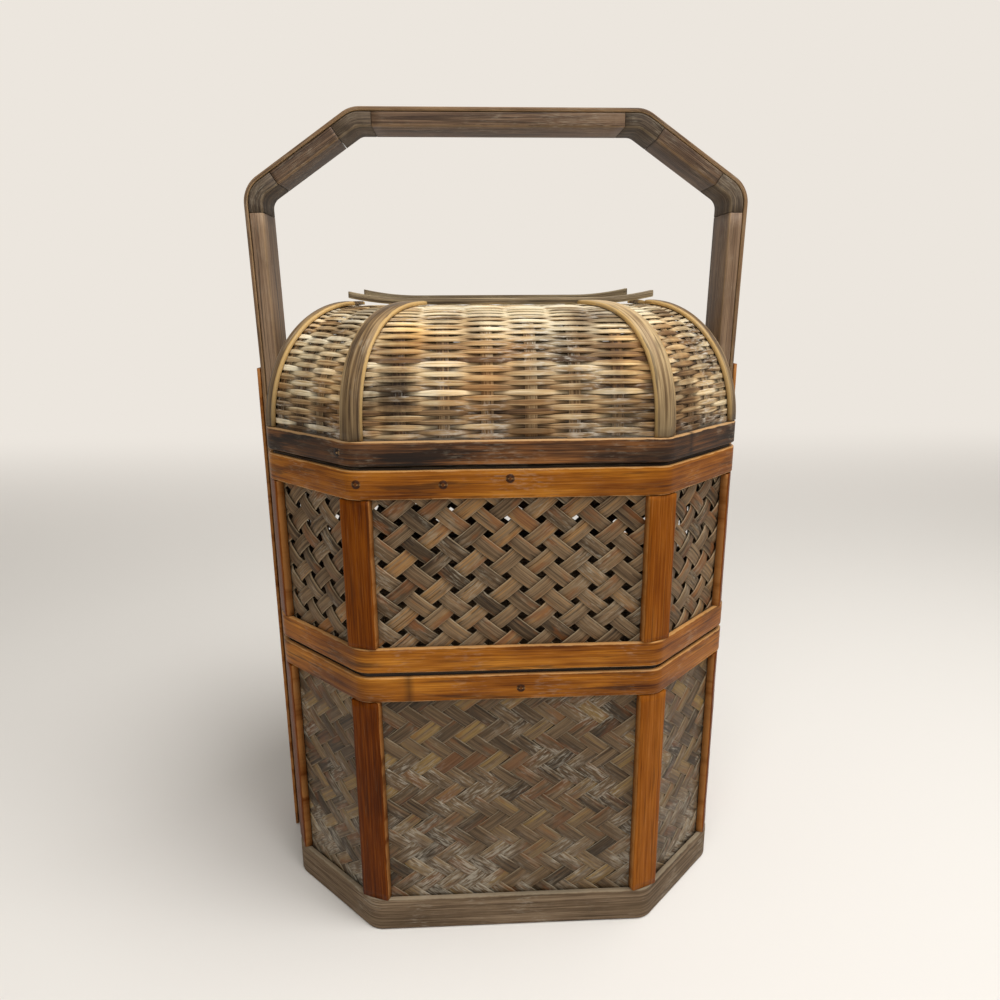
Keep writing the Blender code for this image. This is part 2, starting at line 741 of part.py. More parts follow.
def build_lid(parent):
    hoop("lid_rim_band", 0, BAND_THICKNESS, LID_BOTTOM, DOME_BASE,
         band_radii, lid_bamboo, parent)
    dome(dome_weave, parent)
    for corner in range(len(FACES)):
        end_share = FRONT_RIB_END_SHARE if on_front_or_back(corner) else SIDE_RIB_END_SHARE
        rib(corner, end_share, rib_bamboo, parent)
    ridge_strip(-1, "lid_ridge_strip_front", FRONT_STRIP_THICKNESS, strip_bamboo, parent)
    ridge_strip(1, "lid_ridge_strip_back", BACK_STRIP_THICKNESS, strip_bamboo, parent)


clear_scene()
basket = make_collection("tiered_bamboo_food_basket")

band_bamboo = make_material("band_bamboo", (0.36, 0.13, 0.035), 0.5)
slat_bamboo = make_material("slat_bamboo", (0.33, 0.12, 0.032), 0.5)
base_bamboo = make_material("base_bamboo", (0.23, 0.18, 0.115), 0.7)
open_weave = make_material("open_weave", (0.2, 0.155, 0.1), 0.62)
dense_weave = make_material("dense_weave", (0.13, 0.1, 0.065), 0.55)
dome_weave = make_material("dome_weave", (0.42, 0.3, 0.17), 0.68)
lid_bamboo = make_material("lid_bamboo", (0.16, 0.09, 0.045), 0.55)
rib_bamboo = make_material("rib_bamboo", (0.34, 0.2, 0.075), 0.55)
strip_bamboo = make_material("strip_bamboo", (0.2, 0.165, 0.11), 0.7)
handle_bamboo = make_material("handle_bamboo", (0.14, 0.085, 0.05), 0.55)
strap_bamboo = make_material("strap_bamboo", (0.17, 0.105, 0.06), 0.5)
floor_bamboo = make_material("floor_bamboo", (0.16, 0.12, 0.075), 0.75)
dark_bamboo = make_material("dark_bamboo", (0.06, 0.042, 0.028), 0.7)

lower_tier = make_body_empty("lower_tier", 0)
upper_tier = make_body_empty("upper_tier", UPPER_BOTTOM)
lid = make_body_empty("lid", LID_BOTTOM)

build_lower_tier(lower_tier)
build_handle(handle_bamboo, strap_bamboo, lower_tier)
build_upper_tier(upper_tier)
build_lid(lid)
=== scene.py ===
# Looks of the tiered bamboo food basket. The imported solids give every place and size.
import math
import random

import bpy
import numpy as np
from mathutils import Matrix, Vector


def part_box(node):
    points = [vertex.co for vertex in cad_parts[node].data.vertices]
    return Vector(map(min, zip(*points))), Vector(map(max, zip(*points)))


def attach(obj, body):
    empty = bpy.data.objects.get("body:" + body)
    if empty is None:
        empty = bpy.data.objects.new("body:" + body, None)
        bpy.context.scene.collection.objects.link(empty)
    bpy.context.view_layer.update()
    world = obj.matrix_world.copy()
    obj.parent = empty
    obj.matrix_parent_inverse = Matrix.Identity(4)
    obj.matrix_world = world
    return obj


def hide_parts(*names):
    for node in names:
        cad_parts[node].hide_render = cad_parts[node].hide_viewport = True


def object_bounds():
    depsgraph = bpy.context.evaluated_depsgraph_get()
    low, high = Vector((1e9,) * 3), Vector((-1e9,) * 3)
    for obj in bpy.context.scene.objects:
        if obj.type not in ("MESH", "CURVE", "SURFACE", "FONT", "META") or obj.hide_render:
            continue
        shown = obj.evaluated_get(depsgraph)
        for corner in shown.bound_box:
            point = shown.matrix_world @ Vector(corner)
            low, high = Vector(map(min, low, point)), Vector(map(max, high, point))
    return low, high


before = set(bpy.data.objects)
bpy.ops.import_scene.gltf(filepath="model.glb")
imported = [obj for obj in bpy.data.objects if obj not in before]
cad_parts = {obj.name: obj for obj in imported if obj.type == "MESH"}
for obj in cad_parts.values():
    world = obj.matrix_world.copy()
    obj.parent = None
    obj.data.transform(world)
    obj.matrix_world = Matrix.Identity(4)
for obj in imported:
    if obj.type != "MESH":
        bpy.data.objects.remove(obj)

cad_low, cad_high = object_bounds()

# Plan and layers of the basket, in metres, as in its solids
HALF_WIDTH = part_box("lower_base_band")[1][0]
HALF_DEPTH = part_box("lower_base_band")[1][1]
CORNER_CUT = 0.048
BAND_RADIUS = 0.012
WALL_RADIUS = 0.004
BAND_THICKNESS = 0.0026
WALL_INSET = 0.0029
WALL_THICKNESS = 0.0018
PIECE_GAP = 0.0003
MIDDLE_INSET = WALL_INSET + WALL_THICKNESS / 2
FACE_TURN = math.radians(45)
FACES = ("right", "back_right", "back", "back_left", "left", "front_left", "front", "front_right")

# Camera: it stands where the photograph was taken, with the basket turned a little
CAMERA_DISTANCE = 0.4328
CAMERA_HEIGHT = 0.3220
CAMERA_TILT = -0.2583
CAMERA_TURN = 0.047
CAMERA_ROLL = -0.0055
CAMERA_LENS = 27.27

# Open diagonal weave of the upper tier
PIN_LIFT = 0.0001
OPEN_PITCH = 0.0105
OPEN_ANGLE = math.radians(39.8)
OPEN_WIDTH = 0.0071
OPEN_SPLIT = 0.0007
OPEN_RELIEF = 0.00048
OPEN_SHIFT = (-0.0018, 0.0047)

# Close diagonal weave of the lower tier
CLOSE_PITCH = 0.0069
CLOSE_ANGLE = math.radians(38)
CLOSE_WIDTH = 0.0068
CLOSE_SPLIT = 0.0006
CLOSE_RELIEF = 0.00042
CLOSE_SHIFT = (0.0, 0.0010)

# Basket weave of the dome
STRAND_PITCH = 0.0022
STRAND_HALF_HEIGHT = 0.00116
STRAND_HALF_THICKNESS = 0.00034
STAKE_WIDTH = 0.0056
STAKE_THICKNESS = 0.0005
DOME_WEAVE_DEPTH = 0.00095
STAKE_PITCHES = {"front": 0.0196, "side": 0.0177, "corner": 0.0165}

# Dome of the lid
DOME_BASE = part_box("lid_rim_band")[1][2]
DOME_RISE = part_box("lid_dome")[1][2] - DOME_BASE
CROWN_SHOULDER = 0.042
CROWN_HALF_DEPTH = 0.036
CROWN_END = 0.080
CROWN_END_HALF_DEPTH = 0.018
FRONT_POWER = 2.6
SIDE_POWER = 2.0
SLAT_WIDTH = 0.0150
SLAT_MIDDLE = 0.0012
RIB_HALF_WIDTH = 0.0055
RIB_THICKNESS = 0.0020
SIDE_RIB_END_SHARE = 0.93
FRONT_RIB_END_SHARE = 0.955

dice = random.Random(7)


def linear(red, green, blue):
    # Colour of the photograph, 0 to 255, as linear light.
    def one(value):
        share = value / 255
        return share / 12.92 if share <= 0.04045 else ((share + 0.055) / 1.055) ** 2.4
    return (one(red), one(green), one(blue), 1)


class Finish:
    """A node material that reads the run, across and tone of the strips it covers."""

    def __init__(self, name):
        self.material = bpy.data.materials.new(name)
        self.material.use_nodes = True
        self.tree = self.material.node_tree
        self.shader = self.tree.nodes["Principled BSDF"]

    def put(self, socket, value):
        if isinstance(value, bpy.types.NodeSocket):
            self.tree.links.new(value, socket)
        else:
            socket.default_value = value

    def attribute(self, name):
        node = self.tree.nodes.new("ShaderNodeAttribute")
        node.attribute_name = name
        return node.outputs["Fac"]

    def math(self, operation, first, second=0.0, third=0.0, clamp=False):
        node = self.tree.nodes.new("ShaderNodeMath")
        node.operation = operation
        node.use_clamp = clamp
        for socket, value in zip(node.inputs, (first, second, third)):
            self.put(socket, value)
        return node.outputs[0]

    def vector(self, x, y, z):
        node = self.tree.nodes.new("ShaderNodeCombineXYZ")
        for socket, value in zip(node.inputs, (x, y, z)):
            self.put(socket, value)
        return node.outputs[0]

    def place(self):
        return self.tree.nodes.new("ShaderNodeTexCoord").outputs["Object"]

    def noise(self, vector, scale, detail=3.0, roughness=0.55):
        node = self.tree.nodes.new("ShaderNodeTexNoise")
        self.put(node.inputs["Vector"], vector)
        self.put(node.inputs["Scale"], scale)
        self.put(node.inputs["Detail"], detail)
        self.put(node.inputs["Roughness"], roughness)
        return node.outputs["Fac"]

    def spread(self, value, low, high, smooth=True):
        # Share of the way from low to high, held within 0 and 1.
        node = self.tree.nodes.new("ShaderNodeMapRange")
        node.interpolation_type = "SMOOTHSTEP" if smooth else "LINEAR"
        self.put(node.inputs["Value"], value)
        self.put(node.inputs["From Min"], low)
        self.put(node.inputs["From Max"], high)
        return node.outputs["Result"]

    def ramp(self, value, colours):
        node = self.tree.nodes.new("ShaderNodeValToRGB")
        elements = node.color_ramp.elements
        while len(elements) < len(colours):
            elements.new(0.5)
        for index, colour in enumerate(colours):
            elements[index].position = index / (len(colours) - 1)
            elements[index].color = colour
        self.put(node.inputs["Fac"], value)
        return node.outputs["Color"]

    def mix(self, share, first, second, blend="MIX"):
        node = self.tree.nodes.new("ShaderNodeMix")
        node.data_type = "RGBA"
        node.blend_type = blend
        self.put(node.inputs[0], share)
        self.put(node.inputs[6], first)
        self.put(node.inputs[7], second)
        return node.outputs[2]

    def bump(self, height, distance, strength=1.0, normal=None):
        node = self.tree.nodes.new("ShaderNodeBump")
        self.put(node.inputs["Height"], height)
        self.put(node.inputs["Distance"], distance)
        self.put(node.inputs["Strength"], strength)
        if normal is not None:
            self.put(node.inputs["Normal"], normal)
        return node.outputs["Normal"]

    def surface(self, colour, roughness, normal=None, coat=0.0, coat_roughness=0.3, gleam=0.2):
        self.put(self.shader.inputs["Base Color"], colour)
        self.put(self.shader.inputs["Roughness"], roughness)
        self.put(self.shader.inputs["Specular IOR Level"], gleam)
        self.put(self.shader.inputs["Coat Weight"], coat)
        self.put(self.shader.inputs["Coat Roughness"], coat_roughness)
        if normal is not None:
            self.put(self.shader.inputs["Normal"], normal)
        return self.material


def bamboo(name, palette, drift=0.35, streak=0.5, fibre=0.5, edge=None, edge_share=0.5, edge_start=0.9, edge_side=0,
           dust=None, dust_share=0.3, stain=None, stain_share=0.0, stain_size=(0.03, 0.006), stain_start=0.52,
           roughness=0.5, coat=0.0, gleam=0.2, streak_pitch=0.0011, fibre_depth=0.00006, crack=0.0, zones=(), spots=(),
           dusty=None):
    # Split bamboo: fibres and stains run along the strip, and dust and pale edges lie over them; the edges are worn,
    # and on the bands also a painted highlight.
    finish = Finish(name)
    run = finish.attribute("run")
    across = finish.attribute("across")
    signed_side = finish.attribute("side")
    side = finish.math("ABSOLUTE", signed_side)
    tone = finish.attribute("tone")
    seed = finish.math("MULTIPLY", tone, 37.0)

    def grain(along_size, across_size, shift, detail=3.0):
        vector = finish.vector(
            finish.math("MULTIPLY", run, 1 / along_size),
            finish.math("MULTIPLY", across, 1 / across_size),
            finish.math("ADD", seed, shift),
        )
        return finish.noise(vector, 1.0, detail, 0.6)

    fibres = grain(0.016, streak_pitch * 0.4, 0.0, 4.0)
    streaks = finish.spread(grain(0.06, streak_pitch, 5.0), 0.34, 0.66, False)
    drifts = grain(0.05, 0.012, 11.0, 2.0)
    share = finish.math("MULTIPLY_ADD", finish.math("SUBTRACT", drifts, 0.5), drift * 2, tone)
    share = finish.math("MULTIPLY_ADD", finish.math("SUBTRACT", streaks, 0.5), streak, share, clamp=True)
    colour = finish.ramp(share, palette)
    # Broad weathered zones over the whole surface, each with its own colour and share.
    for index, (zone, size, amount) in enumerate(zones):
        shifted = finish.tree.nodes.new("ShaderNodeVectorMath")
        finish.put(shifted.inputs[0], finish.place())
        shifted.inputs[1].default_value = (index * 0.37, index * 0.61, index * 0.23)
        field = finish.noise(shifted.outputs[0], 1 / size, 3.0, 0.6)
        toned = finish.mix(1.0, colour, zone, "MULTIPLY")
        colour = finish.mix(finish.math("MULTIPLY", finish.spread(field, 0.47, 0.62), amount), colour, toned)
    # Stains with a place of their own, uneven at the rim.
    for centre, radius, tint, amount in spots:
        away = finish.tree.nodes.new("ShaderNodeVectorMath")
        away.operation = "DISTANCE"
        finish.put(away.inputs[0], finish.place())
        away.inputs[1].default_value = centre
        reach = finish.math("DIVIDE", away.outputs["Value"], radius)
        uneven = finish.math("MULTIPLY_ADD", finish.noise(finish.place(), 140.0, 3.0, 0.6), 0.9, reach)
        stained = finish.math("MULTIPLY", finish.spread(uneven, 1.35, 0.75), amount)
        colour = finish.mix(stained, colour, finish.mix(1.0, colour, tint, "MULTIPLY"))
    dark_fibre = finish.math("MULTIPLY", finish.spread(fibres, 0.50, 0.32), fibre)
    colour = finish.mix(dark_fibre, colour, finish.mix(1.0, colour, linear(118, 98, 80), "MULTIPLY"))
    light_fibre = finish.math("MULTIPLY", finish.spread(fibres, 0.56, 0.74), fibre * 0.4)
    colour = finish.mix(light_fibre, colour, finish.mix(1.0, colour, linear(150, 130, 100), "SCREEN"))
    if stain is not None:
        stains = grain(stain_size[0], stain_size[1], 23.0, 4.0)
        stained = finish.spread(stains, stain_start, stain_start + 0.11)
        colour = finish.mix(finish.math("MULTIPLY", stained, stain_share), colour, stain)
    # Pale edges: wear, and on the band materials also a painted highlight where the edge catches the light; some take
    # only the upper edge.
    if edge is not None:
        ragged = grain(0.007, 0.02, 31.0, 3.0)
        edge_wear_and_highlight = finish.math("MULTIPLY_ADD", finish.math("SUBTRACT", ragged, 0.5), 0.22, side)
        amount = finish.math("MULTIPLY", finish.spread(edge_wear_and_highlight, edge_start, edge_start + 0.07), edge_share)
        if edge_side:
            one_side = finish.math("GREATER_THAN", finish.math("MULTIPLY", signed_side, edge_side), 0.0)
            amount = finish.math("MULTIPLY", amount, one_side)
        colour = finish.mix(amount, colour, edge)
    if dust is not None:
        specks = grain(0.005, 0.0009, 41.0, 4.0)
        patches = finish.noise(finish.place(), 45.0, 3.0, 0.6)
        amount = finish.math("MULTIPLY", finish.spread(specks, 0.47, 0.66), finish.spread(patches, 0.45, 0.66))
        if dusty is not None:
            parts = finish.tree.nodes.new("ShaderNodeSeparateXYZ")
            finish.put(parts.inputs[0], finish.place())
            low = finish.spread(parts.outputs["Z"], *dusty)
            wide = finish.math("MULTIPLY", finish.spread(patches, 0.38, 0.60), finish.spread(specks, 0.36, 0.60))
            amount = finish.math("MULTIPLY_ADD", low, wide, amount, clamp=True)
        colour = finish.mix(finish.math("MULTIPLY", amount, dust_share), colour, dust)
    height = finish.math("MULTIPLY_ADD", streaks, 0.5, fibres)
    if crack:
        lane = finish.math("ABSOLUTE", finish.attribute("lane"))
        broken = finish.noise(finish.vector(finish.math("MULTIPLY", run, 40.0), 0.0, seed), 1.0, 2.0)
        line = finish.math("MULTIPLY", finish.spread(lane, 0.12, 0.03), finish.spread(broken, 0.50, 0.54))
        line = finish.math("MULTIPLY", line, crack)
        colour = finish.mix(line, colour, linear(22, 14, 10))
        height = finish.math("MULTIPLY_ADD", line, -3.0, height)
    # Darkening by the mark: dark joints of the cane, rust round nails and darker patches, and also painted shade in
    # seams, where splits pass under others and on stakes behind the strands; nail heads keep a paler painted glint at
    # the centre.
    marks_and_painted_light = finish.attribute("mark")
    colour = finish.mix(finish.math("MULTIPLY", marks_and_painted_light, 0.92), colour, linear(20, 13, 9))
    shine = finish.math("MULTIPLY_ADD", finish.math("SUBTRACT", fibres, 0.5), 0.3, roughness, clamp=True)
    normal = finish.bump(height, fibre_depth)
    return finish.surface(colour, shine, normal, coat, gleam=gleam)


def octagon_corners(inset):
    half_width = HALF_WIDTH - inset
    half_depth = HALF_DEPTH - inset
    cut = CORNER_CUT - inset * (2 - math.sqrt(2))
    side = half_depth - cut
    front = half_width - cut
    return [
        (half_width, side), (front, half_depth), (-front, half_depth), (-half_width, side),
        (-half_width, -side), (-front, -half_depth), (front, -half_depth), (half_width, -side),
    ]


class Loop:
    """The octagon as one closed path, measured from the middle of the front, to the right."""

    def __init__(self, inset, radius, arc_steps=10):
        corners = octagon_corners(inset + radius)
        points = [(0.0, -HALF_DEPTH + inset)]
        normals = [(0.0, -1.0)]
        for turn in range(8):
            index = (6 + turn) % 8
            for step in range(arc_steps + 1):
                angle = FACE_TURN * (index + step / arc_steps)
                direction = (math.cos(angle), math.sin(angle))
                points.append((corners[index][0] + radius * direction[0], corners[index][1] + radius * direction[1]))
                normals.append(direction)
        points.append(points[0])
        normals.append(normals[0])
        self.points = np.array(points)
        self.normals = np.array(normals)
        steps = np.linalg.norm(np.diff(self.points, axis=0), axis=1)
        self.runs = np.concatenate([[0], np.cumsum(steps)])
        self.length = self.runs[-1]

    def lay(self, run, height, lift):
        # Points at a run along the path, a height, and a lift outwards from it.
        wrapped = np.mod(run, self.length)
        x = np.interp(wrapped, self.runs, self.points[:, 0])
        y = np.interp(wrapped, self.runs, self.points[:, 1])
        normal_x = np.interp(wrapped, self.runs, self.normals[:, 0])
        normal_y = np.interp(wrapped, self.runs, self.normals[:, 1])
        size = np.hypot(normal_x, normal_y)
        lift = lift * np.ones_like(run)
        return np.stack([x + normal_x / size * lift, y + normal_y / size * lift, height * np.ones_like(run)], axis=-1)

    def stations(self, spacing):
        # Runs round the whole path, with the bends kept.
        found = set()
        for start, end in zip(self.runs, self.runs[1:]):
            count = max(1, round((end - start) / spacing))
            found.update(np.round(start + (end - start) * np.arange(count) / count, 7))
        return np.array(sorted(found))


def rounded_section(half_across, half_thick, radius, steps=3):
    # Closed outline of a flat strip: across first, thickness second.
    radius = min(radius, half_across * 0.98, half_thick * 0.98)
    outline = []
    for quarter, (sign_a, sign_t) in enumerate(((1, 1), (-1, 1), (-1, -1), (1, -1))):
        for step in range(steps + 1):
            angle = math.pi / 2 * (quarter + step / steps)
            outline.append((
                sign_a * (half_across - radius) + radius * math.cos(angle),
                sign_t * (half_thick - radius) + radius * math.sin(angle),
            ))
    return np.array(outline)


class Strips:
    """Many swept strips that end up in one mesh."""

    def __init__(self):
        self.points, self.quads, self.caps = [], [], []
        self.values = {name: [] for name in ("run", "across", "side", "tone", "lane", "mark")}
        self.count = 0

    def add(self, grid, run, across, tone, closed=False, lane=1.0, mark=None):
        # grid is stations by outline points by 3.
        stations, around = grid.shape[:2]
        ring = grid[0]
        newell = np.cross(ring, np.roll(ring, -1, axis=0)).sum(axis=0)
        across = np.broadcast_to(across, (stations, around))
        if np.dot(newell, grid[1].mean(axis=0) - ring.mean(axis=0)) < 0:
            grid = grid[:, ::-1]
            across = across[:, ::-1]
        first = self.count
        rows = np.arange(stations if closed else stations - 1)
        columns = np.arange(around)
        here = first + rows[:, None] * around + columns[None, :]
        beside = first + rows[:, None] * around + (columns[None, :] + 1) % around
        ahead = first + ((rows + 1) % stations)[:, None] * around + columns[None, :]
        ahead_beside = first + ((rows + 1) % stations)[:, None] * around + (columns[None, :] + 1) % around
        self.quads.append(np.stack([here, beside, ahead_beside, ahead], axis=-1).reshape(-1, 4))
        if not closed:
            self.caps.append(list(range(first, first + around))[::-1])
            last = first + (stations - 1) * around
            self.caps.append(list(range(last, last + around)))
        self.points.append(grid.reshape(-1, 3))
        half = np.abs(across).max(axis=1, keepdims=True)
        self.values["run"].append(np.repeat(np.asarray(run, float), around))
        self.values["across"].append(across.reshape(-1))
        self.values["side"].append((across / half).reshape(-1))
        self.values["tone"].append(np.full(stations * around, tone))
        self.values["lane"].append((across / half - lane).reshape(-1))
        marks_and_painted_light = np.zeros(stations) if mark is None else mark
        self.values["mark"].append(np.repeat(marks_and_painted_light, around))
        self.count += stations * around

    def build(self, name, material, body, *nodes):
        mesh = bpy.data.meshes.new(name)
        points = np.concatenate(self.points)
        quads = np.concatenate(self.quads)
        mesh.vertices.add(len(points))
        mesh.vertices.foreach_set("co", points.reshape(-1).astype(np.float32))
        cap_points = [index for cap in self.caps for index in cap]
        cap_sizes = [len(cap) for cap in self.caps]
        mesh.loops.add(quads.size + len(cap_points))
        mesh.loops.foreach_set("vertex_index", np.concatenate([quads.reshape(-1), cap_points]).astype(np.int32))
        totals = np.concatenate([np.full(len(quads), 4), cap_sizes]).astype(np.int32)
        mesh.polygons.add(len(totals))
        mesh.polygons.foreach_set("loop_start", np.concatenate([[0], np.cumsum(totals)[:-1]]).astype(np.int32))
        mesh.polygons.foreach_set("use_smooth", np.concatenate([np.ones(len(quads)), np.zeros(len(cap_sizes))]).astype(bool))
        mesh.update(calc_edges=True)
        mesh.validate()
        for value_name, parts in self.values.items():
            layer = mesh.attributes.new(value_name, "FLOAT", "POINT")
            layer.data.foreach_set("value", np.concatenate(parts).astype(np.float32))
        mesh.materials.append(material)
        piece = bpy.data.objects.new(name, mesh)
        bpy.context.scene.collection.objects.link(piece)
        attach(piece, body)
        if nodes:
            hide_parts(*nodes)
        return piece


def waves(run, length, amount, harmonics=(2, 3, 5, 9, 14)):
    # A gentle unevenness that closes on itself after the length.
    total = np.zeros_like(run)
    for harmonic in harmonics:
        total += math.sqrt(2 / harmonic) * np.sin(2 * math.pi * harmonic * run / length + dice.uniform(0, 2 * math.pi))
    return amount * total / 2.2


def add_pin(strips, loop, run, height, lift):
    # A small nail head with a dark ring of rust round it, and a paler centre that is a painted glint.
    turn = np.linspace(0, 2 * math.pi, 13)[:-1]
    sizes = ((0.0023, -0.0004), (0.0021, 0.0), (0.0012, 0.0001), (0.0010, 0.0004), (0.0004, 0.0005))
    rings = []
    for size, rise in sizes:
        ring = loop.lay(run + size * np.cos(turn), height + size * np.sin(turn), lift + rise)
        rings.append(ring)
    grid = np.stack(rings)
    marks_and_painted_light = np.array([0.3, 0.6, 0.95, 0.6, 0.2])
    strips.add(grid, np.arange(len(sizes)) * 0.001, np.cos(turn)[None, :] * 0.001, 0.4, mark=marks_and_painted_light)


def band(name, material, body, inset=0, thickness=BAND_THICKNESS, radius=BAND_RADIUS,
         joints=(), pins=(), dark_patches=(), wave=0.00022, tone=0.5):
    # A flat bamboo strip bent round the octagon, with the dark joints of the cane and its nails.
    low_z, high_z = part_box(name)[0][2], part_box(name)[1][2]
    loop = Loop(inset, radius)
    # The runs start and end at the middle of the back.
    run = loop.stations(0.003) - loop.length / 2
    section = rounded_section((high_z - low_z) / 2, thickness / 2, 0.0007)
    thick_wave = waves(run, loop.length, wave * 0.5)
    high_wave = np.minimum(waves(run, loop.length, wave), 0)
    low_wave = np.maximum(waves(run, loop.length, wave * 0.7), 0)
    marks_and_painted_light = np.zeros_like(run)
    for joint in joints:
        marks_and_painted_light = np.maximum(marks_and_painted_light, 0.8 * np.exp(-((run - joint) / 0.0016) ** 2))
    # Broad darker patches at given runs along the band.
    for place, width, share in dark_patches:
        marks_and_painted_light = np.maximum(marks_and_painted_light, share * np.exp(-((run - place) / width) ** 2))
    middle = (low_z + high_z) / 2
    heights = middle + section[None, :, 0] + np.where(section[None, :, 0] > 0, high_wave[:, None], low_wave[:, None])
    lifts = -thickness / 2 + section[None, :, 1] + np.where(section[None, :, 1] > 0, -abs(thick_wave[:, None]), 0)
    runs = np.repeat(run[:, None], len(section), axis=1)
    grid = loop.lay(runs, heights, lifts)
    strips = Strips()
    strips.add(grid, run, section[None, :, 0], tone, closed=True, mark=marks_and_painted_light)
    for place, share in pins:
        add_pin(strips, loop, place, low_z + (high_z - low_z) * share, PIN_LIFT)
    return strips.build(name + "_bamboo", material, body, name)


def add_ring(strips, inset, thickness, radius, low_z, high_z, mark):
    # A plain binding ring that closes off an edge of a woven wall, darkened as painted shade in the seam beside its
    # band.
    loop = Loop(inset, radius)
    run = loop.stations(0.006)
    section = rounded_section((high_z - low_z) / 2, thickness / 2, 0.0003, 1)
    runs = np.repeat(run[:, None], len(section), axis=1)
    heights = (low_z + high_z) / 2 + np.repeat(section[None, :, 0], len(run), axis=0)
    grid = loop.lay(runs, heights, np.repeat(section[None, :, 1], len(run), axis=0))
    strips.add(grid, run, section[None, :, 0], 0.3, closed=True, mark=np.full(len(run), mark))


def diagonal_weave(name, material, body, nodes, low_z, high_z, pitch, angle, width, split, relief, shift,
                   twill, jitter, lane_share, bound):
    # Two families of slanting splits round the whole octagon, passing over and under each other.
    loop = Loop(MIDDLE_INSET, WALL_RADIUS)
    count = round(loop.length / (pitch / math.sin(angle)))
    spacing = loop.length / count
    section = rounded_section(width / 2, split / 2, split * 0.42, 1)
    rise = high_z - low_z
    slope = math.tan(angle)
    base_z = (low_z + high_z) / 2 + shift[1]
    row_height = spacing / 2 * slope
    stations = np.linspace(0, 1, round(rise / row_height * 6) + 1)
    strips = Strips()
    for lean_sign in (1, -1):
        for index in range(count):
            size = 1 + dice.gauss(0, 0.045)
            centre_height = low_z + rise * stations
            level = centre_height - base_z
            sway = jitter * np.sin(stations * dice.uniform(2, 9) + dice.uniform(0, 6)) + dice.gauss(0, jitter * 0.6)
            centre_run = index * spacing + shift[0] + lean_sign * level / slope + sway
            # Both families cross at whole rows, and the row sets which one is on top.
            row = level / row_height
            beat = np.cos(math.pi / 2 * (row - 0.5)) if twill else np.cos(math.pi * row)
            over = np.tanh(2.6 * beat) / math.tanh(2.6) * lean_sign
            offset_along = -section[None, :, 0] * math.sin(angle) * lean_sign * size
            offset_up = section[None, :, 0] * math.cos(angle) * size
            runs = centre_run[:, None] + offset_along
            heights = np.clip(centre_height[:, None] + offset_up, low_z, high_z)
            cup = -0.00012 * (section[None, :, 0] / (width / 2)) ** 2
            lifts = over[:, None] * relief + section[None, :, 1] + cup
            grid = loop.lay(runs, heights, lifts)
            tone = min(max(dice.gauss(0.46 + 0.07 * lean_sign, 0.22), 0.0), 1.0)
            lane = dice.uniform(-0.6, 0.6) if dice.random() < lane_share else 3.0
            # Painted shade where a split dives under a split of the other family.
            buried = np.clip(-0.1 - over, 0, 0.9) / 0.9
            marks_and_painted_light = 0.6 * buried * buried
            strips.add(grid, rise / math.sin(angle) * stations, section[None, :, 0] * size, tone, lane=lane, mark=marks_and_painted_light)
    for edge_low, edge_high in bound:
        add_ring(strips, MIDDLE_INSET, WALL_THICKNESS - 0.0001, WALL_RADIUS, edge_low, edge_high, 0.8)
    return strips.build(name, material, body, *nodes)


def crown_corners():
    return [
        (CROWN_END, CROWN_END_HALF_DEPTH), (CROWN_SHOULDER, CROWN_HALF_DEPTH),
        (-CROWN_SHOULDER, CROWN_HALF_DEPTH), (-CROWN_END, CROWN_END_HALF_DEPTH),
        (-CROWN_END, -CROWN_END_HALF_DEPTH), (-CROWN_SHOULDER, -CROWN_HALF_DEPTH),
        (CROWN_SHOULDER, -CROWN_HALF_DEPTH), (CROWN_END, -CROWN_END_HALF_DEPTH),
    ]


def dome_corner(index, share, inset=WALL_INSET):
    # Corners 1, 2, 5 and 6 bound the front and back panels; the others come in along a rounder arch.
    foot = np.array(octagon_corners(inset)[index])
    head = np.array(crown_corners()[index])
    share = np.atleast_1d(share)
    risen = (1 - (1 - share) ** FRONT_POWER) ** (1 / FRONT_POWER)
    way_in = share
    if index % 4 in (0, 3):
        way_in = 1 - np.maximum(1 - risen ** SIDE_POWER, 0) ** (1 / SIDE_POWER)
    level = foot[None, :] + (head - foot)[None, :] * way_in[:, None]
    return np.column_stack([level, DOME_BASE + DOME_RISE * risen])


def unit(vectors):
    return vectors / np.maximum(np.linalg.norm(vectors, axis=-1, keepdims=True), 1e-12)


def dome_lines(face, samples=400):
    # Shares, arc lengths and the two corner lines of one panel, evenly stepped by arc.
    turn = np.linspace(0, math.pi / 2, samples)
    shares = 1 - np.cos(turn) ** (2 / FRONT_POWER)
    start = dome_corner((face - 1) % 8, shares)
    end = dome_corner(face, shares)
    middle = (start + end) / 2
    arcs = np.concatenate([[0], np.cumsum(np.linalg.norm(np.diff(middle, axis=0), axis=1))])
    return shares, arcs, start, end


def panel_frame(face, places):
    # Start, end, upward and outward directions of a dome panel at some shares of the way in.
    shares, arcs, start, end = dome_lines(face)
    first = np.stack([np.interp(places, shares, start[:, axis]) for axis in range(3)], axis=-1)
    last = np.stack([np.interp(places, shares, end[:, axis]) for axis in range(3)], axis=-1)
    middle = (start + end) / 2
    slopes = np.gradient(middle, arcs, axis=0)
    upward = unit(np.stack([np.interp(places, shares, slopes[:, axis]) for axis in range(3)], axis=-1))
    along = unit(last - first)
    outward = unit(np.cross(along, upward))
    return first, last, along, upward, outward


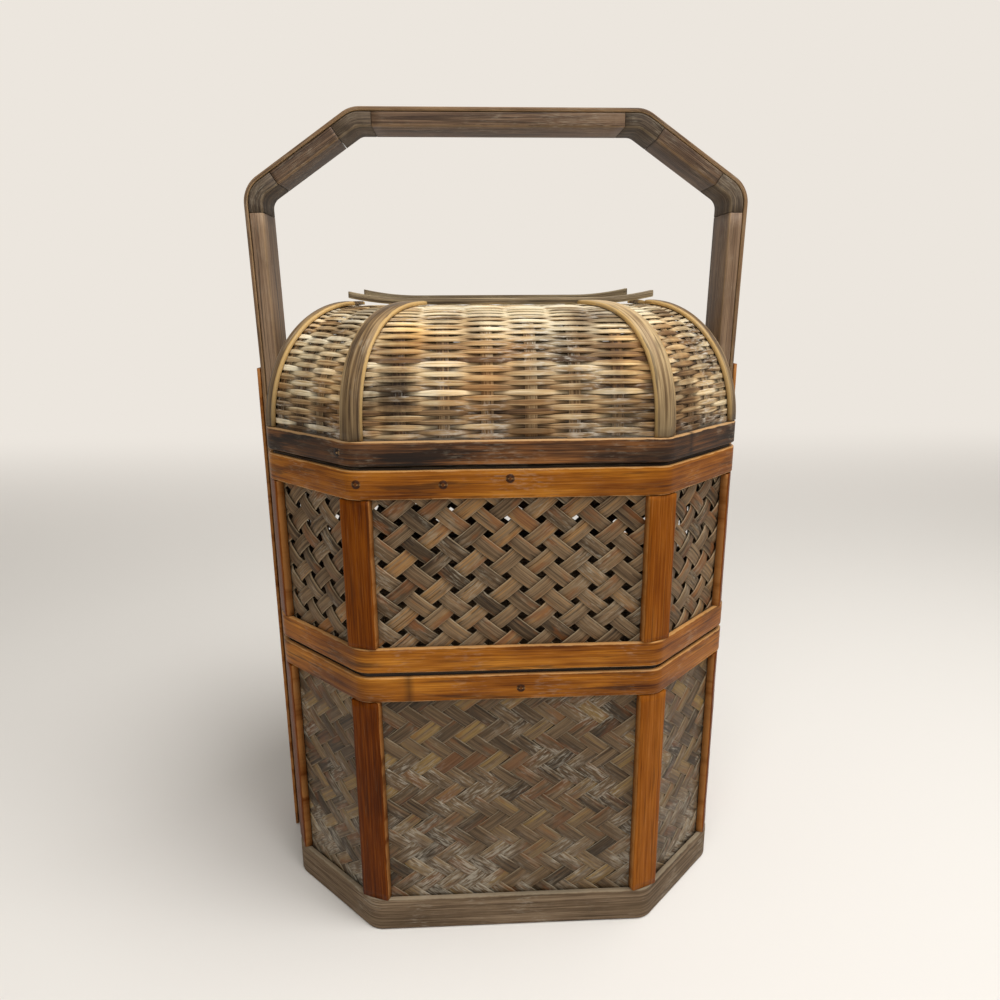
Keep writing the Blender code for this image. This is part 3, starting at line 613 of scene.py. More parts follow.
def add_strand(strips, middle, along, upward, outward, half, pitch, odd, size, shade):
    # One strand over and under the stakes: broad over them, and close against its neighbours between them.
    count = max(4, round(2 * half / pitch * 12))
    local = np.linspace(-half, half, count + 1)
    beat = np.cos(math.pi * (local / pitch - 0.5)) * (1 if odd else -1)
    over = np.tanh(1.6 * beat) / math.tanh(1.6)
    lift = over * (STAKE_THICKNESS / 2 + STRAND_HALF_THICKNESS) - DOME_WEAVE_DEPTH
    swell = 0.93 + 0.30 * np.clip(beat, 0, 1) ** 0.7 - 0.08 * np.clip(-beat, 0, 1)
    section = rounded_section(STRAND_HALF_HEIGHT * size, STRAND_HALF_THICKNESS, 0.00030, 2)
    uneven = dice.gauss(0, 0.00010) + 0.00010 * np.sin(local * dice.uniform(60, 140) + dice.uniform(0, 6))
    centre = middle + along * local[:, None] + outward * lift[:, None]
    grid = (
        centre[:, None, :]
        + upward * (section[None, :, 0, None] * swell[:, None, None] + uneven[:, None, None])
        + outward * section[None, :, 1, None]
    )
    # Painted shade where the strand passes under a stake.
    strips.add(grid, local + dice.uniform(0, 9), section[None, :, 0], shade, mark=0.85 * np.clip(-0.05 - beat, 0, 1))


def add_stake(strips, centre, along, outward):
    section = rounded_section(STAKE_WIDTH / 2, STAKE_THICKNESS / 2, 0.0002, 1)
    grid = (
        centre[:, None, :]
        + along[:, None, :] * section[None, :, 0, None]
        + outward[:, None, :] * section[None, :, 1, None]
    )
    run = np.concatenate([[0], np.cumsum(np.linalg.norm(np.diff(centre, axis=0), axis=1))])
    # The stakes are darkened evenly, as painted shade behind the strands.
    strips.add(grid, run, section[None, :, 0], min(max(dice.gauss(0.2, 0.1), 0.0), 1.0), mark=np.full(len(centre), 0.3))


def crown_reach(place, flat, reach, other_flat, other_reach):
    # How far the crown's octagon reaches one way, at a place the other way.
    slant = np.clip((np.abs(place) - other_flat) / (other_reach - other_flat), 0, 1)
    return reach + (flat - reach) * slant


def dome_weave(name, material, body):
    # Strands pass over and under flat upright stakes, in eight curved panels and across the crown.
    strips = Strips()
    shares, arcs, _, _ = dome_lines(6)
    rows = round(arcs[-1] / STRAND_PITCH)
    places = np.interp((np.arange(rows) + 0.5) * arcs[-1] / rows, arcs, shares)
    for face in range(8):
        kind = "corner" if face % 2 else ("side" if face % 4 == 0 else "front")
        pitch = STAKE_PITCHES[kind]
        first, last, along, upward, outward = panel_frame(face, places)
        middles = (first + last) / 2
        spacing = np.linalg.norm(np.gradient(middles, axis=0), axis=1)
        for row in range(rows):
            half = np.linalg.norm(last[row] - first[row]) / 2 + 0.0004
            size = spacing[row] / STRAND_PITCH * dice.gauss(1.0, 0.05)
            # Strands paler towards the top: partly their own colour, partly painted light falling from above on the
            # upper rows.
            shade = min(max(dice.gauss(0.24 + 0.52 * row / rows, 0.2), 0.0), 1.0)
            add_strand(strips, middles[row], along[row], upward[row], outward[row], half, pitch, row % 2, size, shade)
        first, last, along, upward, outward = panel_frame(face, np.interp(np.linspace(0, arcs[-1], 40), arcs, shares))
        halves = np.linalg.norm(last - first, axis=1) / 2
        number = int(halves[0] / pitch + 0.5)
        for stake in range(-number, number):
            local = (stake + 0.5) * pitch
            keep = halves > abs(local) - 0.002
            if keep.sum() > 2:
                centre = ((first + last) / 2 + along * local - outward * DOME_WEAVE_DEPTH)[keep]
                add_stake(strips, centre, along[keep], outward[keep])
    x_axis, y_axis, z_axis = np.eye(3)
    top = DOME_BASE + DOME_RISE
    pitch = STAKE_PITCHES["front"]
    rows = round(2 * CROWN_HALF_DEPTH / STRAND_PITCH)
    for row in range(rows):
        offset = CROWN_HALF_DEPTH * (2 * (row + 0.5) / rows - 1)
        half = crown_reach(offset, CROWN_SHOULDER, CROWN_END, CROWN_END_HALF_DEPTH, CROWN_HALF_DEPTH) + 0.0004
        shade = min(max(dice.gauss(0.5, 0.25), 0.0), 1.0)
        add_strand(strips, np.array((0, offset, top)), x_axis, y_axis, z_axis, half, pitch, row % 2,
                   dice.gauss(1.0, 0.05), shade)
    for stake in range(-4, 4):
        local = (stake + 0.5) * pitch
        half = crown_reach(local, CROWN_END_HALF_DEPTH, CROWN_HALF_DEPTH, CROWN_SHOULDER, CROWN_END)
        run = np.linspace(-half, half, 12)
        centre = np.column_stack([np.full(12, local), run, np.full(12, top - DOME_WEAVE_DEPTH)])
        add_stake(strips, centre, np.tile(x_axis, (12, 1)), np.tile(z_axis, (12, 1)))
    add_ring(strips, MIDDLE_INSET, WALL_THICKNESS - 0.0001, WALL_RADIUS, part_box("lid_dome")[0][2], DOME_BASE + 0.0008, 0.85)
    return strips.build(name, material, body, "lid_dome")


def rib(corner, material, tone):
    # A bamboo strip folded over one corner line of the dome.
    front_or_back = corner % 4 in (1, 2)
    end_share = FRONT_RIB_END_SHARE if front_or_back else SIDE_RIB_END_SHARE
    last_turn = math.acos((1 - end_share) ** (FRONT_POWER / 2))
    turn = np.linspace(0, last_turn, 46)
    shares = 1 - np.cos(turn) ** (2 / FRONT_POWER)
    line = dome_corner(corner, shares)
    line[0, 2] += PIECE_GAP
    side_a = dome_corner((corner - 1) % 8, shares)
    side_b = dome_corner((corner + 1) % 8, shares)
    rise = unit(np.gradient(line, axis=0))
    to_a = unit(side_a - line)
    to_b = unit(side_b - line)
    normal_a = unit(np.cross(rise, to_a))
    normal_b = unit(np.cross(to_b, rise))
    places = np.array([-1, -0.97, -0.8, -0.5, -0.22, 0, 0.22, 0.5, 0.8, 0.97, 1.0])
    top = np.array([0.45, 0.8, 0.95, 1.0, 1.0, 1.0, 1.0, 1.0, 0.95, 0.8, 0.45])
    rows = []
    for place, share in list(zip(places, top)) + [(1.0, 0.1), (0.97, 0.0), (0.0, 0.0), (-0.97, 0.0), (-1.0, 0.1)]:
        blend = min(max(place / 0.6 * 0.5 + 0.5, 0), 1)
        blend = blend * blend * (3 - 2 * blend)
        normal = normal_a * (1 - blend) + normal_b * blend
        direction = to_a if place < 0 else to_b
        height = PIECE_GAP + RIB_THICKNESS * share
        rows.append(line + direction * abs(place) * RIB_HALF_WIDTH + normal * height)
    grid = np.stack(rows, axis=1)
    across = np.array([*places, 1.0, 0.97, 0.0, -0.97, -1.0]) * RIB_HALF_WIDTH
    run = np.concatenate([[0], np.cumsum(np.linalg.norm(np.diff(line, axis=0), axis=1))])
    node = f"lid_rib_{FACES[corner]}_to_{FACES[(corner + 1) % 8]}"
    strips = Strips()
    # The feet are darker.
    strips.add(grid, run, across[None, :], tone, mark=0.65 * np.clip(1 - run / 0.045, 0, 1) ** 1.3)
    return strips.build(node + "_bamboo", material, "lid", node)


def straight_strip(node, material, body, along_axis, radius=0.0006, tone=None, wave=0.00012):
    # A straight stick with rounded edges, as long as its solid.
    low, high = (np.array(side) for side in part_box(node))
    centre, half = (low + high) / 2, (high - low) / 2
    axes = [axis for axis in range(3) if axis != along_axis]
    wide, thin = sorted(axes, key=lambda axis: -half[axis])
    section = rounded_section(half[wide], half[thin], radius)
    stations = np.linspace(-half[along_axis], half[along_axis], 26)
    shrink = 1 - np.abs(waves(stations, 4 * half[along_axis], wave)) / half[wide]
    grid = np.zeros((len(stations), len(section), 3))
    grid[..., along_axis] = stations[:, None]
    grid[..., wide] = section[None, :, 0] * shrink[:, None]
    grid[..., thin] = section[None, :, 1]
    grid += centre
    strips = Strips()
    strips.add(grid, stations, section[None, :, 0], dice.uniform(0.3, 0.7) if tone is None else tone)
    return strips.build(node + "_bamboo", material, body, node)


# The handle's arch, on its outer face
HANDLE_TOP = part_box("handle_outer_strap")[1][2]
HANDLE_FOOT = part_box("handle_outer_strap")[0][2]
HANDLE_DEPTH = 2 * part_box("handle_outer_strap")[1][1]
HANDLE_SPLAY = 0.0016
LAP_THICKNESS = 0.0018
LAP_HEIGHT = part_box("handle_lap_left")[1][2]
HANDLE_HALF_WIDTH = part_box("handle_lap_right")[1][0] - LAP_THICKNESS - PIECE_GAP
HANDLE_SHOULDER_HEIGHT = HANDLE_TOP - 0.0375
HANDLE_TOP_HALF_WIDTH = 0.075
HANDLE_CORNER_RADIUS = 0.016
STRAP_THICKNESS = 0.0020
CORE_OFFSET = 0.0023
CORE_THICKNESS = 0.0069
UPPER_BLOCK_TOP_REACH = 0.0105
UPPER_BLOCK_SIDE_REACH = 0.013
LOWER_BLOCK_SIDE_REACH = 0.0155
LOWER_BLOCK_LEG_REACH = 0.0125


def handle_vertices():
    left = [
        Vector((-HANDLE_HALF_WIDTH, HANDLE_FOOT)),
        Vector((-HANDLE_HALF_WIDTH, LAP_HEIGHT)),
        Vector((-HANDLE_HALF_WIDTH - HANDLE_SPLAY, HANDLE_SHOULDER_HEIGHT)),
        Vector((-HANDLE_TOP_HALF_WIDTH, HANDLE_TOP)),
    ]
    return left + [Vector((-vertex.x, vertex.y)) for vertex in reversed(left)]


def handle_run(index):
    start, end = handle_vertices()[index:index + 2]
    direction = (end - start).normalized()
    return start, end, direction, Vector((-direction.y, direction.x))


def knee_station(index):
    vertex, _, _, normal_after = handle_run(index)
    normal_before = handle_run(index - 1)[3]
    return vertex, (normal_before + normal_after) / (1 + normal_before.dot(normal_after))


def straight_stations(index, skip_start, skip_end, count):
    start, end, direction, normal = handle_run(index)
    length = (end - start).length
    places = np.linspace(skip_start, length - skip_end, count)
    return [(start + direction * place, normal) for place in places]


def bend_stations(index, steps=14):
    vertex, _, _, normal_after = handle_run(index)
    normal_before = handle_run(index - 1)[3]
    bisector = (normal_before + normal_after) / (1 + normal_before.dot(normal_after))
    centre = vertex - bisector * HANDLE_CORNER_RADIUS
    start_angle = math.atan2(normal_before.y, normal_before.x)
    turn = normal_after.angle_signed(normal_before)
    stations = []
    for step in range(steps + 1):
        angle = start_angle + turn * step / steps
        normal = Vector((math.cos(angle), math.sin(angle)))
        stations.append((centre + normal * HANDLE_CORNER_RADIUS, normal))
    return stations


def handle_strip(node, stations, offset, thickness, material, radius=0.0008, tone=None):
    section = rounded_section(HANDLE_DEPTH / 2, thickness / 2, radius)
    points = np.array([(point.x, 0, point.y) for point, _ in stations])
    normals = np.array([(normal.x, 0, normal.y) for _, normal in stations])
    grid = (
        points[:, None, :]
        - normals[:, None, :] * (offset + thickness / 2 - section[None, :, 1, None])
        + np.array([0, 1, 0])[None, None, :] * section[None, :, 0, None]
    )
    run = np.concatenate([[0], np.cumsum(np.linalg.norm(np.diff(points, axis=0), axis=1))])
    strips = Strips()
    # The grain shows on the narrow front face too, so the two directions are added up.
    across = section[None, :, 0] + section[None, :, 1] * 3
    strips.add(grid, run, across, dice.uniform(0.25, 0.75) if tone is None else tone)
    return strips.build(node + "_bamboo", material, "lower_tier", node)


def leg_stations(side_sign, reach):
    # From the foot, past the knee, to the block.
    if side_sign < 0:
        return [*straight_stations(0, 0, 0.004, 30), knee_station(1), *straight_stations(1, 0.004, reach, 10)]
    return [*straight_stations(5, reach, 0.004, 10), knee_station(6), *straight_stations(6, 0.004, 0, 30)]


def build_handle(core, block, strap, lap):
    gap = PIECE_GAP
    leg_reach = LOWER_BLOCK_LEG_REACH + gap
    handle_strip("handle_leg_left", leg_stations(-1, leg_reach), CORE_OFFSET, CORE_THICKNESS, core, tone=0.85)
    handle_strip("handle_leg_right", leg_stations(1, leg_reach), CORE_OFFSET, CORE_THICKNESS, core, tone=0.75)
    cores = (
        ("handle_diagonal_left", 2, LOWER_BLOCK_SIDE_REACH + gap, UPPER_BLOCK_SIDE_REACH + gap, 0.3),
        ("handle_diagonal_right", 4, UPPER_BLOCK_SIDE_REACH + gap, LOWER_BLOCK_SIDE_REACH + gap, 0.25),
        ("handle_top_bar", 3, UPPER_BLOCK_TOP_REACH + gap, UPPER_BLOCK_TOP_REACH + gap, 0.48),
    )
    for node, index, start, end, tone in cores:
        handle_strip(node, straight_stations(index, start, end, 24), CORE_OFFSET, CORE_THICKNESS, core, tone=tone)
    blocks = (
        ("handle_lower_block_left", 2, LOWER_BLOCK_LEG_REACH, LOWER_BLOCK_SIDE_REACH),
        ("handle_upper_block_left", 3, UPPER_BLOCK_SIDE_REACH, UPPER_BLOCK_TOP_REACH),
        ("handle_upper_block_right", 4, UPPER_BLOCK_TOP_REACH, UPPER_BLOCK_SIDE_REACH),
        ("handle_lower_block_right", 5, LOWER_BLOCK_SIDE_REACH, LOWER_BLOCK_LEG_REACH),
    )
    for node, index, before, after in blocks:
        start, end, direction, normal = handle_run(index - 1)
        first = (end - direction * before, normal)
        start, end, direction, normal = handle_run(index)
        last = (start + direction * after, normal)
        handle_strip(node, [first, *bend_stations(index), last], CORE_OFFSET, CORE_THICKNESS, block)
    stations = leg_stations(-1, 0.012)
    for index in (2, 3, 4, 5):
        stations += bend_stations(index)
        if index < 5:
            stations += straight_stations(index, 0.012, 0.012, 12)
    stations += leg_stations(1, 0.012)
    handle_strip("handle_outer_strap", stations, 0, STRAP_THICKNESS, strap, 0.0006)
    for side in ("left", "right"):
        straight_strip(f"handle_lap_{side}", lap, "lower_tier", 2)


def ridge_strip(node, thickness, material):
    low, high = (np.array(side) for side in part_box(node))
    half = high[0]
    flat = 0.045
    stations = np.linspace(-half, half, 80)
    spring = high[2] - low[2] - thickness
    share = np.clip((np.abs(stations) - flat) / (half - flat), 0, 1)
    section = rounded_section((high[1] - low[1]) / 2, thickness / 2, 0.0008)
    grid = np.zeros((len(stations), len(section), 3))
    grid[..., 0] = stations[:, None]
    grid[..., 1] = (low[1] + high[1]) / 2 + section[None, :, 0]
    grid[..., 2] = low[2] + thickness / 2 + (spring * share ** 2)[:, None] + section[None, :, 1]
    strips = Strips()
    across = section[None, :, 0] + section[None, :, 1] * 2
    strips.add(grid, stations, across, dice.uniform(0.3, 0.6))
    return strips.build(node + "_bamboo", material, "lid", node)


def clip_octagon(low_u, high_u, offset, half_width, half_depth, cut):
    # Part of the line y = offset inside a flat octagon, for x from low_u to high_u.
    limit = half_width - max(0, abs(offset) - (half_depth - cut))
    return max(low_u, -limit), min(high_u, limit)


def woven_floor(node, material, body):
    # A plain weave of flat splits, as thick as the floor's solid.
    low, high = (np.array(side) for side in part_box(node))
    half_width, half_depth = high[0], high[1]
    cut = CORNER_CUT - 0.005 * (2 - math.sqrt(2))
    pitch = 0.0062
    thickness = (high[2] - low[2]) * 0.42
    relief = (high[2] - low[2]) / 2 - thickness / 2
    strips = Strips()
    for axis, reach, other in ((0, half_width, half_depth), (1, half_depth, half_width)):
        count = int(other / pitch)
        for index in range(-count, count + 1):
            offset = index * pitch
            start, end = clip_octagon(-reach, reach, offset, reach, other, cut)
            if end - start < 0.01:
                continue
            stations = np.linspace(start, end, max(3, round((end - start) / pitch * 3)))
            beat = np.cos(math.pi * (stations / pitch + index + axis))
            section = rounded_section(pitch * 0.47, thickness / 2, thickness * 0.4, 1)
            grid = np.zeros((len(stations), len(section), 3))
            grid[..., axis] = stations[:, None]
            grid[..., 1 - axis] = offset + section[None, :, 0]
            lift = np.tanh(1.6 * beat) * relief
            grid[..., 2] = (low[2] + high[2]) / 2 + lift[:, None] + section[None, :, 1]
            strips.add(grid, stations, section[None, :, 0], min(max(dice.gauss(0.4, 0.2), 0), 1))
    return strips.build(node + "_weave", material, body, node)


def corner_slat(tier, corner, material, tone):
    # A flat face over the corner, on a back that fits the wall's angle.
    node = f"{tier}_slat_{FACES[corner]}_to_{FACES[(corner + 1) % 8]}"
    low_z, high_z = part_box(node)[0][2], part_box(node)[1][2]
    apex = np.array(octagon_corners(WALL_INSET - PIECE_GAP)[corner])
    angle = FACE_TURN * (corner + 0.5)
    outward = np.array((math.cos(angle), math.sin(angle)))
    along = np.array((-outward[1], outward[0]))
    half, face = SLAT_WIDTH / 2, SLAT_MIDDLE
    back = half * math.tan(FACE_TURN / 2)
    places = np.array([
        (-half, -back), (-half * 0.5, -back * 0.5), (0, 0), (half * 0.5, -back * 0.5), (half, -back),
        (half, face - 0.0009), (half - 0.0002, face - 0.0004), (half - 0.0007, face - 0.0001), (half * 0.5, face),
        (0, face), (-half * 0.5, face), (0.0007 - half, face - 0.0001), (0.0002 - half, face - 0.0004),
        (-half, face - 0.0009),
    ])
    heights = np.linspace(low_z, high_z, 30)
    narrow = 1 - np.abs(waves(heights, 0.23, 0.00022)) / half
    bow = -np.abs(waves(heights, 0.3, 0.00016))
    front = np.clip((places[:, 1] + back) / (back + face), 0, 1)
    grid = np.zeros((len(heights), len(places), 3))
    across = places[None, :, 0] * narrow[:, None]
    out = places[None, :, 1] + bow[:, None] * front[None, :]
    grid[..., :2] = apex + along * across[..., None] + outward * out[..., None]
    grid[..., 2] = heights[:, None]
    strips = Strips()
    shown = np.where(places[:, 1] < face - 0.0008, np.sign(places[:, 0]) * (half + 0.001), places[:, 0])
    strips.add(grid, heights, shown[None, :], tone)
    return strips.build(node + "_bamboo", material, f"{tier}_tier", node)


def backdrop():
    # A pale floor that curves up into a pale wall.
    turn = np.linspace(0, math.pi / 2, 25)
    bend = 0.8
    behind = 1.4
    profile = [(-3.0, 0.0), *zip(behind + bend * np.sin(turn), bend * (1 - np.cos(turn))), (behind + bend, 4.0)]
    points, faces = [], []
    for row, (depth, height) in enumerate(profile):
        points += [(-5.0, depth, height), (5.0, depth, height)]
        if row:
            faces.append((2 * row - 2, 2 * row - 1, 2 * row + 1, 2 * row))
    mesh = bpy.data.meshes.new("backdrop")
    mesh.from_pydata(points, [], faces)
    mesh.polygons.foreach_set("use_smooth", np.ones(len(faces), dtype=bool))
    cloth = bpy.data.objects.new("backdrop", mesh)
    bpy.context.scene.collection.objects.link(cloth)
    cloth.location.z = cad_low[2] - 0.0002
    paint = Finish("pale_floor")
    pale = linear(232, 228, 222)
    material = paint.surface(pale, 0.75)
    # Towards the wall the cloth shows its plain colour to the eye, and lights nothing more.
    rays = paint.tree.nodes.new("ShaderNodeLightPath")
    seen = paint.math("MAXIMUM", rays.outputs["Is Camera Ray"], rays.outputs["Is Glossy Ray"])
    seen = paint.math("MAXIMUM", seen, rays.outputs["Is Transmission Ray"])
    parts = paint.tree.nodes.new("ShaderNodeSeparateXYZ")
    paint.put(parts.inputs[0], paint.place())
    glow = paint.tree.nodes.new("ShaderNodeEmission")
    glow.inputs["Color"].default_value = linear(236, 230, 222)
    mixed = paint.tree.nodes.new("ShaderNodeMixShader")
    paint.put(mixed.inputs[0], paint.math("MULTIPLY", seen, paint.spread(parts.outputs["Y"], 0.25, 1.5)))
    paint.put(mixed.inputs[1], paint.shader.outputs[0])
    paint.put(mixed.inputs[2], glow.outputs[0])
    paint.put(paint.tree.nodes["Material Output"].inputs["Surface"], mixed.outputs[0])
    mesh.materials.append(material)


def add_lamp(name, place, size, power, target):
    lamp = bpy.data.lights.new(name, "AREA")
    lamp.shape = "SQUARE"
    lamp.size = size
    lamp.energy = power
    holder = bpy.data.objects.new(name, lamp)
    holder.location = place
    holder.rotation_euler = (Vector(target) - Vector(place)).to_track_quat("-Z", "Y").to_euler()
    bpy.context.scene.collection.objects.link(holder)


def lights():
    world = bpy.data.worlds.new("studio")
    bpy.context.scene.world = world
    world.use_nodes = True
    world.node_tree.nodes["Background"].inputs["Color"].default_value = linear(240, 236, 230)
    world.node_tree.nodes["Background"].inputs["Strength"].default_value = 0.34
    middle = (0, 0, 0.2)
    add_lamp("overhead", (0.35, -0.30, 1.4), 0.8, 17, middle)
    add_lamp("front_fill", (-0.5, -1.6, 1.0), 1.0, 7, middle)
    add_lamp("right_fill", (1.4, -0.7, 0.8), 0.8, 4.5, middle)


def camera():
    lens = bpy.data.cameras.new("camera")
    lens.lens = CAMERA_LENS
    lens.sensor_width = 36
    eye = bpy.data.objects.new("camera", lens)
    bpy.context.scene.collection.objects.link(eye)
    turn = Matrix.Rotation(-CAMERA_TURN, 4, "Z")
    place = turn @ Vector((0, -CAMERA_DISTANCE, CAMERA_HEIGHT))
    tilt = Matrix.Rotation(math.radians(90) + CAMERA_TILT, 4, "X")
    eye.matrix_world = Matrix.Translation(place) @ turn @ tilt @ Matrix.Rotation(CAMERA_ROLL, 4, "Z")
    bpy.context.scene.camera = eye
    bpy.context.scene.view_settings.view_transform = "Standard"


camera()
backdrop()
lights()

grime = linear(36, 24, 16)
pale_dust = linear(176, 164, 142)
# Band materials: their pale edges are wear and also a painted highlight, on the lid and base bands along the upper edge
# only.
band_bamboo = bamboo("band_bamboo", [linear(70, 30, 2), linear(124, 68, 10), linear(154, 92, 20), linear(190, 124, 40)],
                     drift=0.75, streak=0.45, fibre=0.45, edge=linear(204, 156, 98), edge_share=0.6, edge_start=0.90,
                     dust=pale_dust, dust_share=0.2, stain=grime, stain_share=0.6, stain_size=(0.05, 0.004),
                     stain_start=0.55, roughness=0.42, gleam=0.12)
slat_bamboo = bamboo("slat_bamboo", [linear(56, 20, 0), linear(94, 42, 0), linear(126, 66, 6), linear(152, 90, 26)],
                     drift=0.35, streak=0.35, fibre=0.4, edge=linear(184, 130, 74), edge_share=0.5, edge_start=0.94,
                     stain=grime, stain_share=0.45, stain_size=(0.06, 0.0022), stain_start=0.56,
                     roughness=0.42, gleam=0.06)
lid_bamboo = bamboo("lid_bamboo", [linear(34, 22, 14), linear(64, 40, 22), linear(106, 66, 32), linear(146, 94, 46)],
                    drift=0.9, streak=0.6, fibre=0.5, edge=linear(196, 154, 104), edge_share=0.75, edge_start=0.86,
                    edge_side=1, dust=pale_dust, dust_share=0.3, stain=linear(24, 16, 11), stain_share=0.85,
                    stain_size=(0.05, 0.006), roughness=0.5)
base_bamboo = bamboo("base_bamboo", [linear(62, 48, 34), linear(92, 74, 54), linear(118, 98, 76), linear(142, 122, 98)],
                     drift=0.4, streak=0.6, fibre=0.6, edge=linear(160, 146, 122), edge_share=0.45, edge_start=0.90,
                     edge_side=1, dust=linear(168, 158, 140), dust_share=0.5, roughness=0.75, fibre_depth=0.00009)
rib_bamboo = bamboo("rib_bamboo", [linear(62, 46, 30), linear(106, 82, 54), linear(152, 124, 86), linear(192, 164, 120)],
                    drift=0.7, streak=0.8, fibre=0.5, edge=linear(206, 168, 104), edge_share=0.7, edge_start=0.76,
                    dust=pale_dust, dust_share=0.3, stain=linear(44, 32, 20), stain_share=0.5,
                    stain_size=(0.03, 0.003), roughness=0.5)
strip_bamboo = bamboo("strip_bamboo", [linear(70, 58, 44), linear(112, 96, 74), linear(150, 132, 102), linear(180, 164, 130)],
                      drift=0.4, streak=0.7, fibre=0.5, edge=linear(196, 180, 142), edge_share=0.6,
                      dust=pale_dust, dust_share=0.4, roughness=0.7)
handle_bamboo = bamboo("handle_bamboo", [linear(60, 44, 33), linear(94, 72, 54), linear(120, 95, 73), linear(146, 120, 94)],
                       drift=0.6, streak=0.6, fibre=0.5, edge=linear(156, 128, 96), edge_share=0.5,
                       dust=pale_dust, dust_share=0.35, stain=linear(44, 32, 24), stain_share=0.7,
                       stain_size=(0.05, 0.003), roughness=0.55)
block_bamboo = bamboo("block_bamboo", [linear(54, 44, 36), linear(84, 70, 56), linear(110, 94, 76), linear(138, 121, 99)],
                      drift=0.5, streak=0.6, fibre=0.5, edge=linear(156, 136, 108), edge_share=0.4,
                      dust=pale_dust, dust_share=0.5, stain=linear(44, 35, 28), stain_share=0.6, roughness=0.65)
strap_bamboo = bamboo("strap_bamboo", [linear(64, 46, 32), linear(96, 72, 50), linear(124, 96, 68), linear(150, 120, 86)],
                      drift=0.4, streak=0.5, fibre=0.45, edge=linear(168, 136, 96), edge_share=0.5,
                      dust=pale_dust, dust_share=0.3, stain=linear(48, 34, 24), stain_share=0.5, roughness=0.5)
open_split = bamboo("open_split", [linear(60, 46, 30), linear(96, 76, 54), linear(124, 101, 74), linear(148, 110, 66)],
                    drift=0.35, streak=0.6, fibre=0.6, edge=linear(166, 148, 118), edge_share=0.5, edge_start=0.88,
                    dust=linear(164, 154, 134), dust_share=0.55, stain=linear(122, 70, 28), stain_share=0.55,
                    stain_size=(0.03, 0.008), roughness=0.6, crack=0.6)
close_split = bamboo("close_split", [linear(52, 40, 26), linear(84, 66, 46), linear(108, 87, 62), linear(128, 102, 58)],
                     drift=0.35, streak=0.6, fibre=0.6, edge=linear(156, 144, 120), edge_share=0.4, edge_start=0.88,
                     dust=linear(166, 158, 142), dust_share=0.6, stain=linear(110, 64, 28), stain_share=0.45,
                     stain_size=(0.03, 0.008), roughness=0.5, crack=0.35, coat=0.03, dusty=(0.085, 0.0))
dome_split = bamboo("dome_split", [linear(96, 72, 48), linear(162, 132, 92), linear(218, 198, 158), linear(250, 238, 208)],
                    drift=0.4, streak=0.5, fibre=0.5, edge=linear(110, 88, 62), edge_share=0.25, edge_start=0.8,
                    dust=linear(216, 208, 192), dust_share=0.6, streak_pitch=0.0007, dusty=(0.272, 0.258),
                    zones=[(linear(244, 204, 140), 0.05, 0.5), (linear(200, 200, 200), 0.04, 0.4),
                           (linear(128, 116, 106), 0.028, 0.6)],
                    spots=[((-0.052, -0.090, 0.281), 0.017, linear(96, 88, 84), 0.9),
                           ((0.060, -0.082, 0.293), 0.030, linear(255, 218, 158), 0.7),
                           ((0.036, -0.062, 0.310), 0.018, linear(170, 146, 124), 0.7),
                           ((-0.046, -0.076, 0.302), 0.022, linear(255, 226, 166), 0.7),
                           ((0.0, -0.088, 0.276), 0.040, linear(240, 204, 160), 0.4),
                           ((-0.088, -0.050, 0.270), 0.026, linear(170, 160, 156), 0.7)], roughness=0.62)
floor_split = bamboo("floor_split", [linear(62, 46, 31), linear(90, 70, 48), linear(112, 88, 62), linear(130, 106, 76)],
                     edge=linear(140, 120, 92), edge_share=0.4, dust=linear(150, 140, 120), dust_share=0.25,
                     roughness=0.7)
dark_bamboo = bamboo("dark_bamboo", [linear(28, 20, 14), linear(42, 31, 22), linear(54, 41, 30), linear(70, 53, 38)],
                     edge=linear(90, 70, 50), edge_share=0.3, roughness=0.65)

upper_pins = ((-0.0694, 0.55), (-0.0303, 0.50), (0.0000, 0.68))
band("lower_base_band", base_bamboo, "lower_tier", joints=(-0.33, -0.15))
band("lower_rim_band", band_bamboo, "lower_tier", joints=(-0.050, 0.23, -0.30), pins=((0.0050, 0.45),),
     dark_patches=((-0.090, 0.022, 0.35),), tone=0.48)
# The collar is dark, as painted shade in the gap between the tiers.
band("lower_collar", dark_bamboo, "lower_tier", 0.0050, 0.0020, 0.003)
band("upper_foot_band", band_bamboo, "upper_tier", joints=(0.14, -0.33), dark_patches=((-0.085, 0.016, 0.3),), tone=0.56)
band("upper_rim_band", band_bamboo, "upper_tier", joints=(0.19, -0.20), pins=upper_pins, tone=0.5)
# The collar is dark, as painted shade in the gap between the tiers.
band("upper_collar", dark_bamboo, "upper_tier", 0.0050, 0.0020, 0.003)
band("lid_rim_band", lid_bamboo, "lid", joints=(0.092, -0.36), pins=((-0.080, 0.5),),
     dark_patches=((-0.105, 0.035, 0.4),), tone=0.5)

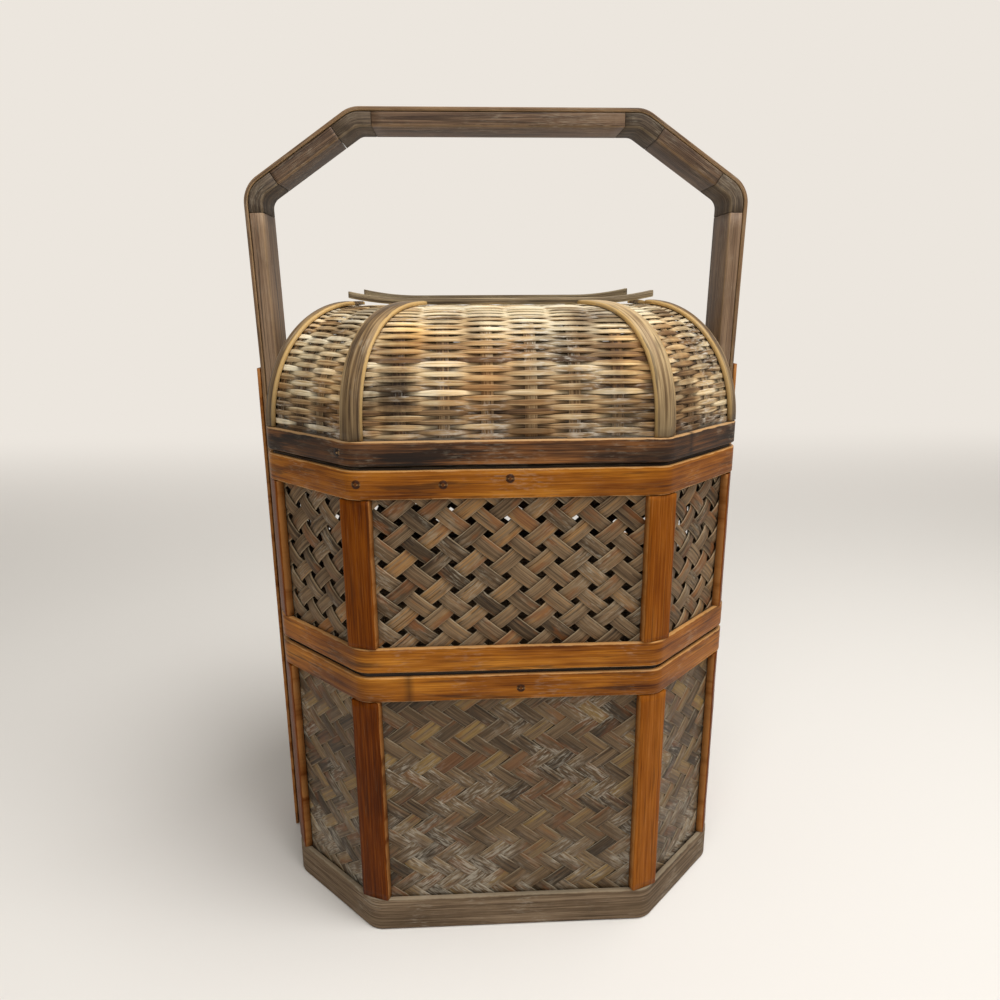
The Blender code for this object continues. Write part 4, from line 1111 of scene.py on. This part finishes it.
wall_low, wall_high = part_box("lower_woven_wall")[0][2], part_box("lower_woven_wall")[1][2]
weave_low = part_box("lower_base_band")[1][2] - 0.004
weave_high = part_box("lower_rim_band")[0][2] + 0.004
diagonal_weave("lower_woven_wall_splits", close_split, "lower_tier", ["lower_woven_wall"], weave_low, weave_high,
               CLOSE_PITCH, CLOSE_ANGLE, CLOSE_WIDTH, CLOSE_SPLIT, CLOSE_RELIEF, CLOSE_SHIFT, True, 0.00018, 0.25,
               ((wall_low, weave_low), (weave_high, wall_high)))
panels = [f"upper_panel_{face}" for face in FACES]
panel_low, panel_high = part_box(panels[0])[0][2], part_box(panels[0])[1][2]
weave_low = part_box("upper_foot_band")[1][2] - 0.004
weave_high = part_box("upper_rim_band")[0][2] + 0.004
diagonal_weave("upper_open_weave_splits", open_split, "upper_tier", panels, weave_low, weave_high,
               OPEN_PITCH, OPEN_ANGLE, OPEN_WIDTH, OPEN_SPLIT, OPEN_RELIEF, OPEN_SHIFT, False, 0.00020, 0.4,
               ((panel_low, weave_low), (weave_high, panel_high)))
dome_weave("lid_dome_weave", dome_split, "lid")
# The slats and the rib at the front's left corner are darker than those at its right.
slat_tones = {"upper": {5: 0.5, 6: 0.7}, "lower": {5: 0.3, 6: 0.8}}
rib_tones = {5: 0.5, 6: 0.9}
for corner_index in range(8):
    rib(corner_index, rib_bamboo, rib_tones.get(corner_index, 0.5))
    corner_slat("upper", corner_index, slat_bamboo, slat_tones["upper"].get(corner_index, 0.45))
    corner_slat("lower", corner_index, slat_bamboo, slat_tones["lower"].get(corner_index, 0.4))
ridge_strip("lid_ridge_strip_front", 0.0032, strip_bamboo)
ridge_strip("lid_ridge_strip_back", 0.0050, strip_bamboo)
straight_strip("lower_batten_front", dark_bamboo, "lower_tier", 0)
straight_strip("lower_batten_back", dark_bamboo, "lower_tier", 0)
build_handle(handle_bamboo, block_bamboo, strap_bamboo, slat_bamboo)
woven_floor("lower_floor", floor_split, "lower_tier")
woven_floor("upper_floor", floor_split, "upper_tier")
